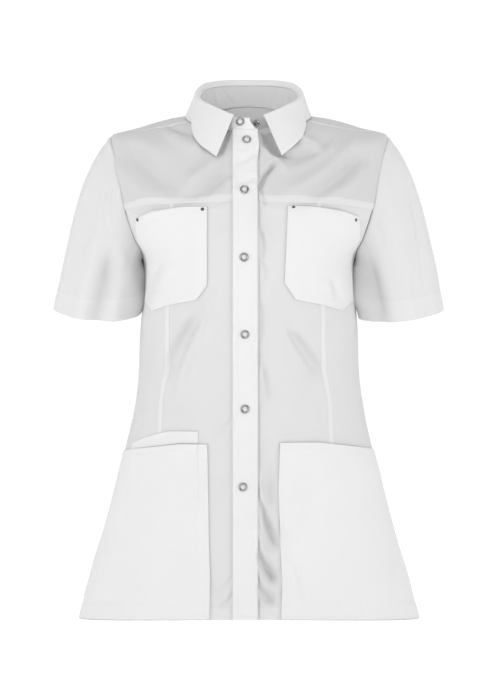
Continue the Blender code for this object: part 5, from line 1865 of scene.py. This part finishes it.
# Soft boxes of the studio: where each is, what it faces, and its size, in metres
SOFT_BOXES = {
    "left": ((-2.7, -1.5, 0.2), (0.0, 0.0, -0.35), 1.6),
    "right": ((2.7, -1.5, 0.0), (0.0, 0.0, -0.35), 1.6),
    "front": ((-0.8, -3.5, 0.1), (0.0, 0.0, -0.4), 1.2),
    "top": ((0.0, -1.0, 2.6), (0.0, 0.0, 0.0), 1.6),
    "inside": ((0.0, -0.03, -0.16), (0.0, 0.06, 0.04), 0.06),
}
FLOOR_RADIUS = 14
FLOOR_SIDES = 64
FLOOR_FAR_COLOUR = (0.94, 0.94, 0.94, 1)
FLOOR_GRAIN_COLOUR = (0.80, 0.80, 0.80, 1)
WHITE = (1, 1, 1, 1)


class TUNIC_OT_stage(bpy.types.Operator):
    """Camera at the photo's angle, soft studio light and a plain pale floor"""

    bl_idname = "tunic.stage"
    bl_label = "Stage"

    def execute(self, context):
        settings = context.scene.tunic_stage
        scene = context.scene
        scene.view_settings.view_transform = "Standard"
        scene.view_settings.look = "None"
        camera = bpy.data.cameras.new("camera")
        camera.lens = camera.sensor_width * settings.camera_distance / FRAME_HEIGHT
        camera.clip_end = 60.0
        stand = bpy.data.objects.new("camera", camera)
        stand.location = (FRAME_CENTRE_X, -settings.camera_distance, VIEW_Z)
        stand.rotation_euler = (math.radians(90), 0, 0)
        scene.collection.objects.link(stand)
        scene.camera = stand
        self.make_floor(settings)
        self.make_world(scene, settings)
        for name, (place, target, size) in SOFT_BOXES.items():
            self.soft_box(scene, name, place, target, size, getattr(settings, f"{name}_power"))
        return {"FINISHED"}

    def make_floor(self, settings):
        angle = np.linspace(0, 2 * math.pi, FLOOR_SIDES, endpoint=False)
        height = settings.floor_height
        ring = [(FLOOR_RADIUS * math.cos(a), FLOOR_RADIUS * math.sin(a), height) for a in angle]
        floor = new_piece("floor", ring, [range(FLOOR_SIDES)])
        sketch = NodeSketch(bpy.data.materials.new("pale_floor"))
        grain = sketch.noise(sketch.place, 3.0, 2.0)
        reach = sketch.add("VectorMath", {0: sketch.place}, operation="LENGTH").outputs["Value"]
        reach = {"Value": reach, "From Min": 0.9, "From Max": 2.2}
        far = sketch.add("MapRange", reach, interpolation_type="SMOOTHSTEP").outputs[0]
        near = sketch.mix(grain, (*settings.floor_colour, 1), FLOOR_GRAIN_COLOUR)
        sketch.shade({
            "Base Color": sketch.mix(far, near, FLOOR_FAR_COLOUR),
            "Roughness": 0.9,
            "Emission Color": WHITE,
            "Emission Strength": sketch.math("MULTIPLY", far, settings.floor_glow),
        })
        floor.data.materials.append(sketch.owner)

    def make_world(self, scene, settings):
        """A room that is white behind the tunic and dimmer before it."""
        scene.world = bpy.data.worlds.new("studio")
        sketch = NodeSketch(scene.world, "Background")
        parts = sketch.add("SeparateXYZ", {0: sketch.coordinates["Generated"]})
        reach = {
            "Value": parts.outputs["Y"], "From Min": 0.0, "From Max": 0.8,
            "To Min": settings.room_light, "To Max": settings.backdrop_light,
        }
        strength = sketch.add("MapRange", reach, interpolation_type="SMOOTHSTEP").outputs[0]
        sketch.shade({"Color": WHITE, "Strength": strength})

    def soft_box(self, scene, name, place, target, size, power):
        light = bpy.data.lights.new(name, "AREA")
        light.shape = "SQUARE"
        light.size = size
        light.energy = power
        holder = bpy.data.objects.new(name, light)
        holder.location = place
        holder.rotation_mode = "QUATERNION"
        holder.rotation_quaternion = (Vector(target) - Vector(place)).to_track_quat("-Z", "Y")
        scene.collection.objects.link(holder)


def colour_property(name, description, default):
    return bpy.props.FloatVectorProperty(
        name=name, description=description, default=default, subtype="COLOR", min=0.0, max=1.0
    )


def number_property(name, description, default, **limits):
    return bpy.props.FloatProperty(name=name, description=description, default=default, **limits)


def length_property(name, description, default, low=0.0):
    return number_property(
        name, description, default, unit="LENGTH", subtype="DISTANCE", precision=5, min=low
    )


def power_property(name, description, default):
    return number_property(name, description, default, unit="POWER", min=0.0)


class TunicCloth(bpy.types.PropertyGroup):
    """Colours and weave of the cloth"""

    single_ply: colour_property("Single ply", "Colour of one layer of the cloth", (0.50, 0.50, 0.505))
    double_ply: colour_property("Double ply", "Colour where layers lie over each other", (0.625, 0.625, 0.63))
    twill_pitch: length_property("Twill pitch", "Distance between the twill's ribs", 0.0009)
    crease_depth: number_property(
        "Creases", "Depth of the creases, as a share of the worn one", 1.0, min=0.0, max=2.0
    )


class TunicSewing(bpy.types.PropertyGroup):
    """Thread and stitches"""

    stitch_length: length_property("Stitch", "Length of a stitch that shows", 0.0022)
    stitch_gap: length_property("Gap", "Distance between stitches", 0.0007)
    thread_radius: length_property("Thread radius", "Radius of the sewing thread", 0.00022)
    thread_colour: colour_property("Thread", "Colour of the sewing thread", (0.72, 0.72, 0.72))


class TunicMetal(bpy.types.PropertyGroup):
    """Snaps and rivets"""

    ring_radius: length_property("Ring radius", "Outer radius of a ring snap", 0.0064)
    rivet_radius: length_property("Rivet radius", "Radius of a pocket rivet", 0.0026)
    ring_colour: colour_property("Ring", "Colour of the ring snaps", (0.42, 0.42, 0.43))
    ring_shadow: colour_property("Ring, worn", "Darker plating of the ring snaps", (0.10, 0.10, 0.11))
    rivet_colour: colour_property("Rivets", "Colour of the rivets", (0.16, 0.16, 0.17))
    dark_plating: colour_property("Dark plating", "Worn parts of the rivets and the stud", (0.05, 0.05, 0.05))


class TunicStage(bpy.types.PropertyGroup):
    """Camera, light and floor"""

    camera_distance: length_property("Camera distance", "From the camera to the tunic", VIEW_DISTANCE)
    floor_height: length_property("Floor height", "Height of the floor", -1.15, -10.0)
    floor_colour: colour_property("Floor", "Colour of the floor under the tunic", (0.76, 0.76, 0.76))
    floor_glow: number_property("Floor glow", "Light that the floor sends back by itself", 0.45, min=0.0)
    room_light: number_property("Room light", "Strength of the light before the tunic", 0.55, min=0.0)
    backdrop_light: number_property("Backdrop light", "Strength of the light behind the tunic", 1.03, min=0.0)
    left_power: power_property("Left light", "Power of the light at the left", 27.5)
    right_power: power_property("Right light", "Power of the light at the right", 31.5)
    front_power: power_property("Front light", "Power of the light beside the camera", 27.0)
    top_power: power_property("Top light", "Power of the light overhead", 23.0)
    inside_power: power_property("Inside light", "Power of the light in the neck, as through the cloth", 0.2)


class TUNIC_PT_panel(bpy.types.Panel):
    """Sizes, colours and pieces of the tunic"""

    bl_idname = "TUNIC_PT_panel"
    bl_label = "Medical tunic"
    bl_space_type = "VIEW_3D"
    bl_region_type = "UI"
    bl_category = "Tunic"

    def draw(self, context):
        layout = self.layout
        for name, group in GROUPS:
            box = layout.box()
            box.label(text=group.__doc__)
            settings = getattr(context.scene, name)
            for key in group.__annotations__:
                box.prop(settings, key)
        column = layout.column()
        for operator in OPERATORS:
            column.operator(operator.bl_idname)


GROUPS = (
    ("tunic_cloth", TunicCloth),
    ("tunic_sewing", TunicSewing),
    ("tunic_metal", TunicMetal),
    ("tunic_stage", TunicStage),
)
OPERATORS = (
    TUNIC_OT_stage,
    TUNIC_OT_back,
    TUNIC_OT_fronts,
    TUNIC_OT_yokes,
    TUNIC_OT_plackets,
    TUNIC_OT_collar,
    TUNIC_OT_sleeves,
    TUNIC_OT_chest_pockets,
    TUNIC_OT_hip_pockets,
    TUNIC_OT_snaps,
    TUNIC_OT_rivets,
)


def register():
    for name, group in GROUPS:
        bpy.utils.register_class(group)
        setattr(bpy.types.Scene, name, bpy.props.PointerProperty(type=group))
    for kind in OPERATORS:
        bpy.utils.register_class(kind)
    bpy.utils.register_class(TUNIC_PT_panel)


def unregister():
    bpy.utils.unregister_class(TUNIC_PT_panel)
    for kind in reversed(OPERATORS):
        bpy.utils.unregister_class(kind)
    for name, group in reversed(GROUPS):
        delattr(bpy.types.Scene, name)
        bpy.utils.unregister_class(group)


def main():
    """Make every piece in order."""
    register()
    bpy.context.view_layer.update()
    for operator in OPERATORS:
        group, name = operator.bl_idname.split(".")
        getattr(getattr(bpy.ops, group), name)()


if __name__ == "__main__":
    main()
